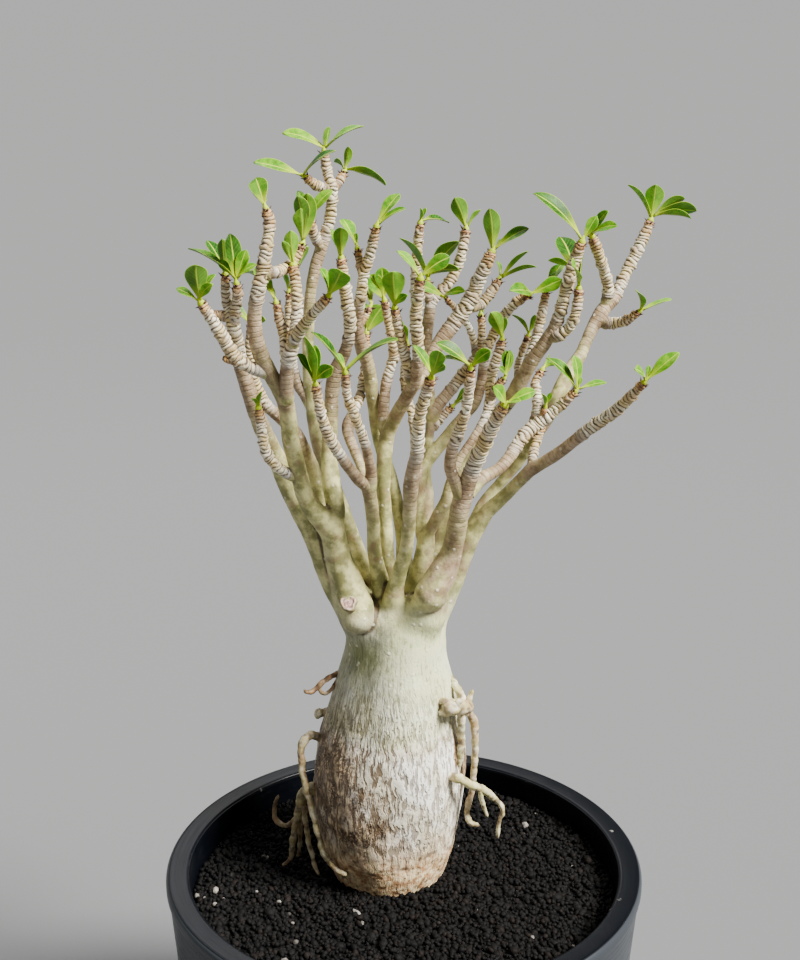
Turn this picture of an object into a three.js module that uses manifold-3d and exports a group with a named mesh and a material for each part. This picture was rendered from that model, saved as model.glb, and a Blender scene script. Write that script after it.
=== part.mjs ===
// A desert rose (adenium) in its pot: swollen trunk, ringed twigs, leaf tufts and aerial roots.
// Millimetres, +Z up, the front looks along -Y. The origin is the middle of the pot's underside.
import * as THREE from 'three';
import { mergeVertices } from 'three/addons/utils/BufferGeometryUtils.js';
import Module from 'manifold-3d';

const wasm = await Module();
wasm.setup();

// ---- driving dimensions -------------------------------------------------------------------
const RIM_RADIUS = 105; // widest part of the collar
const POT_HEIGHT = 160;
const POT_BASE_RADIUS = 92;
const COLLAR_HEIGHT = 5;
const LIP_OUTER_RADIUS = 103.2; // outer edge of the flat rim
const LIP_INNER_RADIUS = 95.4;
const WALL_TOP_RADIUS = 104.3; // just below the collar
const INNER_TOP_RADIUS = 94.5;
const FLOOR_THICKNESS = 6;
const DRAIN_HOLES = 6;
const DRAIN_RADIUS = 5;
const DRAIN_CIRCLE = 50;
const SOIL_LEVEL = 149; // height of the grit's surface
const GAP = 0.3; // clearance between pieces that touch
const SEAT_GAP = 0.5; // around the trunk's foot
const GRIT_RINGS = [93.2, 82, 71, 60, 49, 38, 27, 14]; // radii of the grit surface's corners
const PLANT_X = -7; // the trunk stands a little off the pot's middle
const PLANT_Y = 15;
const POT_SIDES = 36;
const TRUNK_SIDES = 24;
const LIMB_SIDES = 8;
const TWIG_SIDES = 5;
const TWIG_RADIUS = 3.3; // thinner wood is ringed by leaf scars
const SMOOTH_STEP = 14; // length of one tube segment on smooth wood
const RING_STEP = 8; // length of one tube segment on ringed wood, where ridges and hollows alternate
const RING_RIDGE = 0.07; // height of a ridge, as a share of the radius
const BACK_SPREAD = 1.3; // how far the rear limbs lean back, against the rows below
const BLADE_THICKNESS = 1.0; // at the midrib
const BLADE_FOLD = 0.28; // rise of the margins, as a share of the half width
const LEAF_ARCH = 0.16; // how far a blade bows, as a share of its length
const LEAF_CLEARANCE = 1.0;
const LEAF_SLENDERNESS = 0.4; // full width as a share of the length
const LEAF_WIDEST = 8.5;

// The limbs' rows were read in a front view, from an eye that looks down on the plant. A row is
// [x, height, depth, radius]: x and height are where the eye sees the point against the plant's
// middle plane, depth is how far the point lies behind (+) or before (-) that plane.
const EYE = new THREE.Vector3(5.3, -604.8, 367.4); // measured from the foot of the trunk
const PLANT_FOOT = new THREE.Vector3(PLANT_X, PLANT_Y, SOIL_LEVEL);

function sight(x, height, depth) {
  const y = depth > 0 ? depth * BACK_SPREAD : depth;
  const scale = (y - EYE.y) / -EYE.y;
  const seen = new THREE.Vector3(x, 0, height);
  const point = seen.sub(EYE).multiplyScalar(scale).add(EYE);
  return { point: point.add(PLANT_FOOT), scale };
}

// ---- the wood -----------------------------------------------------------------------------
// Trunk rows: [height above the soil, radius, x of the middle].
const TRUNK = [
  [-18, 14, 0], [-12, 20, 0], [-4, 24.5, 0], [4, 27.5, 0], [16, 30.8, -0.7], [27, 32.6, -0.5],
  [38, 33.8, -0.2], [52, 33.6, 0.5], [65, 32, 1.3], [76, 29.2, 2.2], [91, 25.8, 3.4],
  [104, 22.5, 3.8], [112, 21.3, 4.3], [120, 20, 4], [127, 17, 3], [133, 9, 2],
];
const PLAIN_BELOW = 6; // the trunk is round up to this height, where the grit holds it
const TRUNK_WAVES = [[3, 0.02, 0.045], [5, 0.016, -0.07], [11, 0.007, 0.12]]; // count, share, twist

// A branch starts inside the wood that carries it. Its name is used again by its leaf tuft.
const BRANCHES = {
  leftFront: [[-6, 106, -3, 8], [-10, 116, -7, 9], [-16, 128, -8, 7.5], [-20, 142, -10, 5.8],
    [-21.7, 150, -12, 5.3], [-24, 160, -14, 5.4], [-31, 169, -18, 4.4], [-35, 176, -21, 3.9],
    [-38.2, 190, -26, 3.5], [-40.3, 200, -29, 3.7], [-41.2, 210, -32, 3.5], [-42.5, 217, -34, 3.6],
    [-47, 226, -36, 3.4], [-51, 234, -38, 3.4], [-53.5, 242, -40, 3.3], [-54.2, 250, -41, 3],
    [-53.5, 257, -42, 2.9], [-52, 264, -43, 2.8], [-50.5, 270, -43, 2.6], [-48.5, 280, -43, 2.4],
    [-47, 290, -42, 2.2], [-48.3, 295.5, -42, 1.9]],
  leftFrontInner: [[-42, 214, -34, 3], [-42, 222, -36, 3.1], [-41, 232, -39, 2.9],
    [-39, 240, -41, 2.9], [-37.5, 247, -40, 2.4], [-36.6, 256, -39, 2.4], [-37, 265, -38, 2.3],
    [-37.8, 273, -37, 2]],
  leftFrontBow: [[-39, 239, -41, 2.3], [-37.5, 243.5, -43, 2.4], [-35, 247.5, -45, 2.3],
    [-32, 251, -47, 2.3], [-29, 255, -49, 2.2], [-26, 258, -51, 2.1], [-24, 260.5, -52, 1.8]],
  leftFrontSpur: [[-41.3, 229, -38.5, 2], [-42, 238, -38, 2], [-42.5, 245, -37, 1.9],
    [-44, 252, -37, 1.9], [-45, 257.5, -37, 1.6]],
  leftElbow: [[-48, 228, -36, 2.6], [-52, 229.5, -38, 2.6], [-58, 232, -40, 2.6],
    [-63, 236, -42, 2.6], [-67, 243, -44, 2.6], [-71, 250, -46, 2.4], [-75.5, 257.5, -48, 2]],
  leftElbowStub: [[-60, 233, -41, 2], [-64, 234, -42, 1.7], [-67.5, 235, -43, 1.2]],
  leftBridge: [[-51, 269, -43, 2.1], [-46, 270, -41, 2.1], [-42, 271.5, -37, 2.1],
    [-38.5, 274, -33, 2], [-36, 277.5, -31, 1.9], [-34.2, 281.5, -30, 1.7]],
  leftLow: [[-38.5, 184, -24, 2.3], [-43, 186, -27, 2.3], [-47, 189, -30, 2.3],
    [-50.5, 194, -33, 2.2], [-52, 200, -35, 2.2], [-52.7, 207, -36, 2.1], [-53.5, 213.5, -37, 1.8]],
  innerFront: [[-23, 160, -14, 4], [-22, 170, -12, 4], [-23.5, 180, -9, 4], [-24.3, 190, -6, 3.6],
    [-24, 200, -4, 3.3], [-23, 220, -2, 3], [-21, 230, -2, 2.9], [-18, 236, -3, 2.6],
    [-16, 242, -4, 2.4], [-15.2, 250, -5, 2.5], [-16.5, 260, -6, 2.5], [-17.8, 270, -7, 2.2],
    [-18.4, 276, -7, 1.9]],
  leftOuter: [[-8, 112, 0, 8], [-12, 120, -2, 8], [-20, 132, -2, 6.5], [-24, 140, -3, 6],
    [-28, 150, -5, 5.3], [-32, 160, -7, 5], [-37, 170, -9, 4.7], [-42, 181, -11, 4.4],
    [-46, 191, -13, 4], [-50, 200, -15, 3.7], [-54, 210, -16, 3.5], [-57, 220, -17, 3.3],
    [-60, 231, -18, 3.1], [-62, 243, -19, 2.9], [-63, 249, -19, 2.8], [-64.6, 255, -18, 2],
    [-65.5, 262, -17, 1.9], [-65.5, 269, -16, 1.7]],
  leftOuterFork: [[-62.7, 247, -19, 2.2], [-61.8, 255, -20, 2.1], [-60.7, 260, -21, 2],
    [-61, 265.5, -22, 1.8]],
  leftOuterStub: [[-63, 251, -18, 1.9], [-68, 252.5, -18, 1.9], [-72.5, 253, -20, 1.7]],
  leftRear: [[-12, 130, 2, 5], [-18, 140, 2, 4.5], [-22, 158, 4, 3.8], [-26, 170, 5, 3.5],
    [-30, 182, 5, 3.3], [-34, 194, 4, 3], [-39, 204, 2, 2.8], [-45, 210, 0, 2.6],
    [-51, 216, -3, 2.4], [-55, 226, -5, 2.2], [-56.5, 238, -7, 2], [-55.5, 248, -8, 1.8]],
  tallRear: [[-2, 112, 4, 6], [-6, 122, 8, 5.5], [-11, 143, 10, 4.3], [-16.5, 160, 14, 3.7],
    [-24, 183, 20, 3.4], [-28, 195, 23, 3.2], [-30.5, 208, 26, 2.9], [-32, 222, 28, 2.7],
    [-32.5, 236, 30, 2.5], [-32, 250, 32, 2.4], [-31, 262, 33, 2.3], [-29, 272, 34, 2.4],
    [-26.5, 280, 35, 2.5], [-23, 291, 35, 2.3], [-21.7, 303, 35, 2.2], [-23, 308, 35, 2],
    [-24.2, 314, 35, 1.9], [-24.6, 318, 35, 1.7]],
  tallRearLeft: [[-22, 303.5, 35, 1.7], [-24.5, 304, 34, 1.8], [-28, 305, 32, 1.8],
    [-30.5, 306.8, 30, 1.7], [-32.3, 308.3, 29, 1.5]],
  tallRearRight: [[-21.7, 302.5, 35, 1.8], [-20, 305, 36, 1.7], [-18.3, 307.5, 37, 1.7],
    [-17, 310, 38, 1.5]],
  tallRearFork: [[-26.5, 280, 34, 2], [-28.5, 284, 33, 2], [-30, 288, 31, 1.9],
    [-31, 291.5, 30, 1.7]],
  rearSpur: [[-31, 213, 27, 2.1], [-34, 219, 28, 2.2], [-37.5, 225, 29, 2.2],
    [-39.5, 236, 30, 2], [-40, 248, 31, 1.9], [-39.5, 262, 32, 1.7]],
  middle: [[-1, 124, -4, 5], [-3, 136, -7, 4], [-5, 146, -10, 3.3], [-6, 155, -13, 3],
    [-6.2, 165, -16, 2.9], [-8, 178, -20, 2.9], [-12.5, 183, -24, 2.5], [-17, 189, -28, 2.4],
    [-20.5, 194.5, -32, 2.4], [-23.7, 200, -35, 2.4], [-26, 206, -38, 2.2],
    [-28, 213, -41, 2.1], [-29.6, 223.5, -44, 1.8]],
  middleFork: [[-7.5, 176, -20, 2.4], [-7, 184, -21, 2.4], [-7.5, 190, -23, 2.2],
    [-9, 197, -26, 2.1], [-10.8, 203, -29, 2], [-13.5, 210, -32, 2], [-15.7, 216, -35, 1.9],
    [-17, 222, -37, 1.8], [-17.2, 228.5, -39, 1.6]],
  middleRear: [[-8, 178, -19, 2.2], [-10, 185, -14, 2.2], [-12.5, 192, -8, 2.1],
    [-15.5, 200, -2, 2.2], [-16.5, 206, 3, 2.5], [-14, 212, 7, 2.1], [-11.5, 218, 10, 1.9],
    [-10, 226, 13, 1.8], [-8.5, 235, 15, 1.6], [-8.4, 245, 16, 1.4]],
  centreFront: [[1, 119, -9, 4.5], [2, 128, -12, 4.3], [5, 141, -16, 3.3], [7.7, 150, -20, 3],
    [8.8, 160, -24, 3], [9.5, 170, -28, 3.1], [9.9, 180, -32, 3.3], [11, 188, -36, 3],
    [12.5, 194, -39, 2.9], [12.6, 200, -41, 2.9], [13.4, 210, -45, 2.5], [16, 220, -49, 2.4],
    [18.2, 226.5, -52, 2]],
  centre: [[0, 124, 2, 4.8], [0.5, 140, 2, 3.4], [0, 150, 2, 2.9], [-1.2, 170, 4, 2.9],
    [-1.8, 180, 4, 3], [-0.5, 200, 5, 3.3], [3.5, 210, 2, 3], [8, 218.5, -3, 2.8],
    [11.3, 225, -8, 2.6], [12.5, 232, -12, 2.4], [12.7, 240, -15, 2.4], [11.8, 250, -18, 2.5],
    [12.6, 260, -20, 2.3], [13.5, 267.5, -22, 2]],
  centreLeft: [[-0.3, 202, 5, 2.6], [-1.5, 209, 7, 2.4], [-0.8, 222, 9, 2.2], [1, 230, 10, 2],
    [2.8, 236, 10, 2], [2, 243, 9, 1.8], [0.5, 250, 8, 1.7], [-1, 258.5, 7, 1.5]],
  centreFork: [[10.3, 223, -7, 2.1], [8.5, 231, -9, 2.1], [6.8, 238, -13, 2.1],
    [5.5, 243, -15, 2], [4.5, 248, -17, 2], [3.2, 255.5, -19, 1.7]],
  centreRight: [[9.5, 221, -5, 2.5], [14, 226.5, -2, 2.6], [17, 232, 1, 2.7], [20, 239, 3, 2.9],
    [24, 245, 4, 3.2], [28, 250.5, 5, 3.2], [32, 256, 5, 3.2], [35, 261.5, 5, 3],
    [37.5, 268, 4, 2.7], [40, 273.5, 3, 2.5], [42.3, 278.5, 3, 2.1]],
  centreRightSpur: [[34, 256, 5, 2], [38.5, 257.5, 8, 2], [41, 260.5, 9, 2], [43.5, 264, 10, 1.9],
    [45.3, 267.3, 11, 1.6]],
  rear: [[6, 116, 8, 5], [7, 128, 12, 4.8], [7, 150, 12, 3.5], [6, 160, 13, 3], [4.5, 170, 14, 2.9],
    [2, 181, 14, 2.8], [-1.2, 192, 13, 2.8], [-4, 203, 12, 2.7], [-5.3, 211, 11, 2.7],
    [-7.5, 230, 8, 2.9], [-10, 238, 6, 2.9], [-12, 247, 4, 2.5], [-11.5, 255, 2, 2.2],
    [-10.4, 262, 0, 2.2], [-9.3, 270, -1, 2.1], [-7, 277, -2, 2], [-4.2, 288.5, -4, 1.7]],
  rearFork: [[-9.5, 268, -1, 1.7], [-10.8, 274, 1, 1.6], [-11.8, 279.5, 2, 1.4]],
  rearShoot: [[-11.7, 248, 3, 1.4], [-9, 252, 5, 1.3], [-7, 256, 6, 1.1]],
  rearThin: [[14, 158, 3, 2], [13, 164, 6, 1.8], [13.2, 175, 8, 1.8], [13, 186, 9, 1.8],
    [12, 196, 10, 1.8], [10, 212, 14, 1.7], [7.5, 222, 16, 1.7], [7, 229, 17, 1.6],
    [8.3, 240, 18, 1.4]],
  rearRight: [[10, 114, 3, 6], [11, 124, 2, 6.2], [13.5, 138, 0, 5.2], [15.5, 148, -1, 4.3],
    [16.5, 156, 1, 3.8], [17, 166, 6, 2.5], [17.2, 175, 9, 2.3], [16.5, 186, 13, 2],
    [17, 198, 16, 1.9], [18, 207, 18, 2], [18, 218, 20, 2.1], [16.5, 230, 21, 2.2],
    [16.3, 242, 22, 2.2], [17, 251, 23, 2.3], [18, 257.5, 24, 2.2], [21, 261.5, 25, 2.1],
    [25, 266, 26, 2.1], [28.3, 272, 27, 2], [30.3, 279, 27, 2], [31.7, 287.5, 28, 1.8]],
  rearRightStub: [[17.5, 256, 24, 1.9], [16.7, 262, 24, 1.7], [16.6, 267, 25, 1.4]],
  rearRightInner: [[16.5, 234, 21, 2], [13, 248, 25, 2.1], [11.5, 262, 27, 2],
    [11.7, 272, 28, 2], [12.4, 281, 28, 1.9], [13.4, 289.8, 28, 1.6]],
  rearRightSpur: [[17.6, 203, 17, 2], [19.5, 206.5, 19, 2], [23, 210.5, 20, 1.9],
    [26.8, 214.2, 21, 1.5]],
  rearRightOuter: [[17.8, 206, 18, 2.2], [19.5, 212, 19, 2.6], [23, 217.5, 20, 2.6],
    [27.5, 223, 21, 2.5], [31.5, 228.5, 22, 2.4], [35.5, 234, 22, 2], [38.3, 240, 22, 1.8],
    [38.8, 246, 22, 1.6], [38.3, 252.5, 22, 1.4]],
  rearRightThread: [[36.5, 235.5, 22, 1.4], [35.5, 242, 21, 1.4], [33.3, 248, 20, 1.3],
    [30, 253, 19, 1.3], [26.5, 257, 18, 1.2], [24, 259.5, 18, 1.1]],
  crossing: [[13.3, 181, 9, 2], [15, 187, 11, 2.5], [19, 193.5, 13, 2.6], [23.5, 199.5, 15, 2.6],
    [28, 205.5, 16, 2.5], [33, 211.5, 17, 2.4], [37, 217, 17, 2.2], [38.8, 224, 17, 2.1],
    [39.6, 231, 17, 2.1], [40.6, 238, 16, 2.1], [43, 243.5, 16, 2.1], [45.5, 248, 16, 2.1],
    [48, 253, 15, 2], [51.5, 257, 14, 1.9], [54.8, 259.8, 14, 1.9], [57.5, 261.2, 13, 1.6]],
  rightThin: [[16.5, 157, -1, 2.7], [21, 166, -4, 2.7], [24.5, 173, -5, 2.6], [27, 183, -4, 2],
    [30.5, 192, -2, 1.8], [35.5, 200, 0, 1.8], [40, 208, 2, 1.9], [42.5, 216, 4, 2],
    [42.5, 224, 5, 2.1], [44, 231, 6, 2.1], [46, 238, 6, 2], [47, 242.5, 6, 1.7]],
  rightThinSpur: [[42.6, 217, 4, 1.6], [45, 222, 2, 1.6], [48, 226, 1, 1.4]],
  rightInner: [[13, 128, 4, 5], [17, 140, 6, 4.5], [19.5, 150, 6, 3.8], [22, 156, 7, 3.6],
    [27, 172, 9, 3.4], [31, 184, 11, 3.3], [36, 196, 13, 3.3], [41, 205, 14, 3.2],
    [46, 211, 14, 3.1], [50, 216, 12, 3.1], [53, 221, 10, 3.2], [56, 227, 8, 3.2],
    [60, 234.5, 6, 3], [64.5, 241, 5, 2.8], [68.5, 248, 4, 2.6], [70.8, 255, 3, 2.5],
    [72.3, 262, 2, 2.4], [74, 269, 1, 2.4], [76, 275.5, 1, 2.3], [78.3, 282.5, 0, 1.9]],
  rightInnerFork: [[57, 230, 8, 2], [59.3, 238, 12, 1.9], [61, 243.5, 13, 1.9],
    [62.3, 249, 14, 1.8], [63.4, 255, 15, 1.8], [64.6, 262, 16, 1.5]],
  rightInnerStub: [[54.5, 224, 10, 1.5], [53.8, 231, 15, 1.4], [55.5, 238, 17, 1.3],
    [57.7, 244, 18, 1.2]],
  rightInnerSpur: [[66, 243, 5, 2.3], [70, 244.5, 3, 2.4], [74, 247.5, 2, 2.2],
    [76.5, 252, 1, 2.1], [77.6, 258, 1, 2], [77.8, 263.5, 1, 1.7]],
  rightInnerShoot: [[71.5, 258, 3, 1.7], [74, 265, 8, 1.7], [75.5, 270, 11, 1.5]],
  rightFront: [[11, 111, -3, 6], [16, 120, -9, 7.3], [19, 127, -11, 7], [22, 134, -12.5, 6],
    [25, 142, -14, 5.2], [27.5, 151, -17, 4.6], [29.3, 160, -20, 4.3], [30.8, 170, -23, 4.2],
    [32.3, 176, -24, 4], [35, 185, -27, 3.6], [36.8, 190, -29, 3.4], [41.2, 200, -34, 3.1],
    [44.3, 207, -38, 2.8], [46.8, 211.5, -41, 2.5], [48.7, 214.7, -43, 2.1]],
  rightFrontFork: [[31.5, 175, -24, 3], [28.5, 182, -27, 2.7], [26.4, 188, -30, 2.5],
    [27, 195, -33, 2.5], [29, 201, -35, 2.4], [31, 207, -37, 2.2], [32.3, 212, -39, 2.1],
    [33.6, 219, -41, 2.1], [34.2, 225, -43, 2], [34.5, 230, -44, 1.7]],
  rightBridge: [[34, 177, -23, 2.8], [39.5, 183, -20, 2.9], [44, 185.5, -17, 2.6],
    [48, 188.5, -14, 2.5], [51.5, 193, -11, 2.5], [54.5, 198, -8, 2.6], [58, 203, -6, 2.7],
    [62, 206.5, -4, 2.8], [66, 209.7, -4, 2.5], [70, 213, -4, 2.3], [74, 216.7, -5, 2.1],
    [77.7, 220.7, -6, 1.7]],
  rightBridgeShoot: [[65, 209, -4, 1.4], [65.2, 212, -4.5, 1.3], [65.6, 213.8, -5, 1.1]],
  right: [[18, 118, 2, 7], [24, 130, 3, 6], [28, 140, 2, 5.6], [31, 148, 1, 5.2],
    [34.5, 156, 0, 4.5], [37.5, 161, 0, 4], [42.5, 168.5, -1, 3.2], [47, 173, -3, 2.9],
    [52, 178, -5, 2.8], [56.5, 183, -8, 2.8], [61, 187.5, -11, 2.9], [66, 190.5, -14, 2.7],
    [72, 194.5, -18, 2.6], [78, 199.5, -22, 2.5], [84, 204.5, -26, 2.6], [90, 209, -29, 2.6],
    [95.5, 213, -32, 2.5], [100, 217.5, -35, 2.3], [103.5, 221.5, -37, 2], [106, 224.5, -39, 1.6]],
  rightRear: [[35.5, 160, 1, 3], [40, 170.5, 4, 2.7], [44, 176.5, 6, 2.5], [49, 183, 6, 2.3],
    [54, 189, 5, 2.3], [58, 195, 3, 2.4], [62, 202, 0, 2.6], [65.5, 208, -1, 3],
    [68.5, 214, 1, 3.2], [71, 219.5, 3, 3.3], [73.5, 225, 5, 3.3], [76, 230.5, 8, 3],
    [79.3, 236, 11, 2.7], [82.9, 245, 15, 2.5], [85.5, 250.5, 18, 2.8], [88, 255, 20, 2.9],
    [92.4, 260, 22, 2.6], [94.6, 265, 24, 2.3], [96.6, 270, 26, 2.3], [99.2, 275.5, 28, 2.3],
    [101.4, 280.5, 29, 2.3], [103.3, 285, 30, 2.1], [105.5, 291, 31, 1.7]],
  rightRearFork: [[88.5, 256, 20, 2.4], [89.8, 261, 20, 2.2], [89.3, 266, 19, 2.2],
    [87.8, 271, 17, 2.1], [86, 276, 15, 2.1], [84, 281, 13, 2.1], [82.6, 284.5, 12, 1.8]],
  rightRearSpur: [[86, 249.5, 18, 2.3], [92, 249.5, 18, 2.2], [96, 250, 17, 2.1],
    [99.5, 251.8, 16, 1.9], [102.7, 254.3, 15, 1.5]],
  rightLink: [[60.5, 187, -11, 1.9], [61.2, 194, -8, 1.8], [62.5, 200, -5, 1.9],
    [64.5, 206.5, -3, 1.9]],
  rightShoot: [[61.5, 205, -2, 2.2], [62.3, 211, 2, 2.3], [62.6, 216, 5, 2.1],
    [61.8, 221, 7, 1.9], [61.3, 225, 8, 1.8], [63.8, 229.7, 9, 1.4]],
};

// Aerial roots, as rows of the same kind. They hang free and end above the grit.
const ROOTS = [
  [[-20, 94, 0, 2], [-24, 92.5, -3, 1.2], [-28, 90, -5, 1.1], [-30.5, 87.5, -6, 1.2],
    [-33, 85, -7, 1.1], [-35.5, 84.8, -8, 1], [-37, 86, -8, 0.7]],
  [[-21, 91, -1, 1.2], [-24.5, 87, -4, 0.9], [-27.3, 84.3, -5, 0.8], [-29.3, 85, -6, 0.8],
    [-30.3, 87, -6, 0.8]],
  [[-24, 76.5, 6, 2.2], [-28, 75, 7, 1.8], [-31.5, 74, 7, 1.7]],
  [[-29, 62, 0, 2.4], [-34, 63.5, -3, 2.3], [-37.7, 61, -5, 2.2], [-38.8, 55, -7, 1.9],
    [-38.4, 46, -9, 1.8], [-37.3, 39, -12, 1.8], [-35.5, 31, -14, 1.6], [-33.7, 23, -17, 1.6],
    [-32, 15, -19, 1.6], [-30.3, 7, -20, 1.7], [-28, 1, -21, 1.6], [-24, -4, -23, 1.4],
    [-19, -6.7, -25, 1.3]],
  [[-30, 39, 2, 3.2], [-35, 37, -2, 3.2], [-38.5, 33.5, -4, 3], [-40, 28, -4, 2.6],
    [-41.3, 23, -4, 1.8], [-42.7, 16, -5, 1.7], [-43.8, 8, -5, 1.6], [-44.2, 3, -5, 1.4],
    [-46, 0, -6, 1.1], [-48.7, -1.6, -7, 0.9]],
  [[-39.7, 26, -4, 1.6], [-39.7, 20, -2, 1.3], [-40.2, 12, -1, 1.2], [-41, 2.5, 0, 0.9]],
  [[-38.7, 29, -5, 1.7], [-37.6, 24, -7, 1.5], [-37, 16, -9, 1.4], [-36, 9, -11, 1.3],
    [-34.5, 2, -13, 1.2], [-33, -4, -15, 1], [-32, -7, -16, 0.8]],
  [[-41.5, 22, -4, 1.2], [-46, 18.5, 0, 1.1], [-50, 20.5, 3, 1.1], [-51.7, 26, 4, 1],
    [-49.5, 34, 4, 0.8]],
  [[22, 77, -12, 3.4], [27, 77, -19, 3.5], [31, 77.5, -17, 3.4], [34.5, 77.8, -14, 3],
    [36.8, 78.5, -12, 2.2]],
  [[35.5, 79, -13, 1.2], [36.5, 83, -12, 1], [37.2, 86, -12, 0.8]],
  [[35, 76, -13, 2.2], [37.6, 71, -12, 2], [38.7, 65, -12, 2], [38.7, 56, -12, 1.7],
    [38.3, 46, -12, 1.6], [38, 38, -13, 1.6], [36.3, 31, -14, 1.5], [35.7, 25, -15, 1.5],
    [37.2, 20, -16, 1.5], [41.3, 18.7, -17, 1.3]],
  [[27.5, 92, -5, 1.4], [30.3, 87, -9, 1.7], [32.5, 82, -11, 1.9], [33.5, 77, -13, 2]],
  [[31.5, 78, -14, 2], [32.2, 72, -15, 2], [32.3, 66, -14, 2], [32.3, 56, -12, 2],
    [31, 46, -10, 1.6]],
  [[26, 43.5, -16, 2.2], [31, 42.6, -21, 2.1], [35, 40.7, -21, 1.9], [39, 38.3, -20, 1.8],
    [43, 36.3, -19, 1.8], [46.5, 33.6, -18, 1.6], [49.5, 30.6, -17, 1.3], [51.3, 27.5, -17, 1.1],
    [51.7, 24.5, -17, 1], [50.4, 20.5, -17, 1], [49.5, 12, -17, 0.7]],
  [[41, 37, -20, 1.1], [42.2, 31, -19, 1], [43.7, 26, -18, 0.8], [44.8, 23, -18, 0.6]],
];

// ---- the leaves ---------------------------------------------------------------------------
// Tufts by branch: each leaf is [x, height, width], the tip and the widest part as the eye sees them.
// A leaf that looks narrow is a full one seen from its edge.
const TUFTS = {
  leftFront: [[-52, 308, 7], [-51.5, 300, 2]],
  leftFrontInner: [[-38.5, 287.3, 5.5], [-42, 283, 3]],
  leftFrontBow: [[-27, 271.8, 2.2], [-18.5, 271, 8.5]],
  leftFrontSpur: [[-48, 265, 2.2]],
  leftElbow: [[-77, 273.5, 8.5], [-85.5, 263.8, 3], [-70.5, 265.5, 3.5], [-69.3, 269.5, 2.5]],
  leftBridge: [[-34.5, 296, 7], [-31.5, 302, 6.5], [-35.5, 301, 6]],
  leftLow: [[-52.3, 220.8, 2], [-56, 218, 1.6]],
  innerFront: [[-18.3, 288.5, 6], [-22.5, 287.8, 2.5]],
  leftOuter: [[-66, 284, 5]],
  leftOuterFork: [[-63, 286, 6.5], [-56.5, 279.5, 5], [-55.5, 277, 3], [-68.5, 275, 3.5],
    [-80, 280, 1.6], [-53, 269, 1.4], [-52.5, 273.5, 2.5]],
  leftRear: [[-66, 258.5, 4.5], [-49.5, 251, 3]],
  tallRear: [[-22.5, 327.8, 2.8], [-9, 328, 1.6], [-41, 325.3, 4.5]],
  tallRearLeft: [[-52.7, 314, 4.5], [-20, 318.7, 1.6]],
  tallRearRight: [[-15, 320.2, 3.5], [-20.7, 314.3, 1.6], [-0.3, 305.2, 3.2]],
  tallRearFork: [[-21.5, 303, 4.5], [-35.5, 303, 4]],
  rearSpur: [[-42.5, 271.5, 2], [-31.8, 281, 4.5]],
  middle: [[-29.3, 240.5, 5], [-33.5, 244, 3.5], [-37, 236.5, 2.5], [-22.3, 231, 5.5]],
  middleFork: [[-31, 246, 2], [4.5, 243, 1.8], [-20.5, 237, 2]],
  middleRear: [[-1.5, 256.5, 8]],
  centreFront: [[21.5, 238, 6], [10.5, 240.3, 3], [24, 232, 3]],
  centre: [[4, 279, 2.5], [25.5, 276.5, 6]],
  centreLeft: [[-7, 269.5, 6.5], [-2, 272.5, 6.5]],
  centreFork: [[2.5, 270.8, 9], [8.5, 261, 3]],
  centreRight: [[41, 296, 7], [57, 288, 4], [50, 284, 1.6]],
  centreRightSpur: [[60.5, 272.6, 2], [57, 279, 1.6], [44.5, 275, 1.6]],
  rear: [[7.5, 296, 2]],
  rearFork: [[-12.6, 286, 2.2]],
  rearShoot: [[-8.5, 262, 1.6]],
  rearThin: [[6.7, 249, 2.2]],
  rearRight: [[27, 300.2, 7], [37.5, 295.5, 1.8]],
  rearRightStub: [[5.5, 284, 3], [29, 283, 6], [17.5, 272.5, 1.6], [29.3, 271.5, 4]],
  rearRightInner: [[25, 290.3, 1.8], [13.8, 296, 1.6], [15.8, 296.2, 1.6]],
  rearRightSpur: [[33, 222.5, 3.5], [31, 216.7, 2]],
  rearRightOuter: [[42.7, 262, 2.5], [37, 257, 1.6]],
  rearRightThread: [[31.8, 262.5, 3]],
  crossing: [[71, 267.5, 6], [49.8, 262.8, 4.5]],
  rightThin: [[42.3, 254, 6], [48.5, 252, 2]],
  rightThinSpur: [[48.5, 238.3, 4], [50.3, 238.5, 3], [46, 231, 2]],
  rightInner: [[58.3, 302, 4.4], [84.2, 293, 4.5]],
  rightInnerFork: [[69.5, 271, 2.5]],
  rightInnerStub: [[60.6, 253, 3], [51, 253, 1.6]],
  rightInnerSpur: [[78.9, 277, 2], [75.3, 272.5, 1.6]],
  rightInnerShoot: [[69.5, 284.6, 8], [65.2, 275.2, 2.5]],
  rightFront: [[43.7, 222.8, 4.5], [61.5, 221, 4.5], [55.5, 216.8, 1.6]],
  rightFrontFork: [[20, 241.3, 4], [42.7, 238, 5], [22, 235, 1.6]],
  rightBridge: [[65.5, 235, 3], [76.6, 236, 4], [90.8, 224.5, 2.5], [80, 227, 1.6]],
  rightBridgeShoot: [[64.3, 219.8, 1.8], [68, 220.3, 2]],
  right: [[120, 237.3, 5], [102, 230.3, 2], [107.8, 232, 2.2]],
  rightRear: [[107, 305.5, 8], [96, 305.3, 2], [119, 300, 4], [124, 295, 5], [122, 292, 2.5]],
  rightRearFork: [[88.6, 295, 3.5], [92.5, 289, 3.5]],
  rightRearSpur: [[101, 263.2, 2.4], [115.7, 259.3, 1.8]],
  rightShoot: [[66.5, 235.7, 2], [71, 233, 2]],
};
const HIDDEN_LEAF_LENGTH = 15; // a sparse tuft also has a leaf on the side away from the eye
const HIDDEN_LEAF_WIDTH = 4.5;
const HIDDEN_LEAF_TURN = 2.4; // spread of its direction in radians, about straight back
const FULL_TUFT = 2; // a tuft with this many leaves in view has no hidden one
const TIP_DEPTHS = [0, 5, -5, 10, -10, 15, -15, 20, -20]; // tried in turn until a leaf is clear
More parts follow.
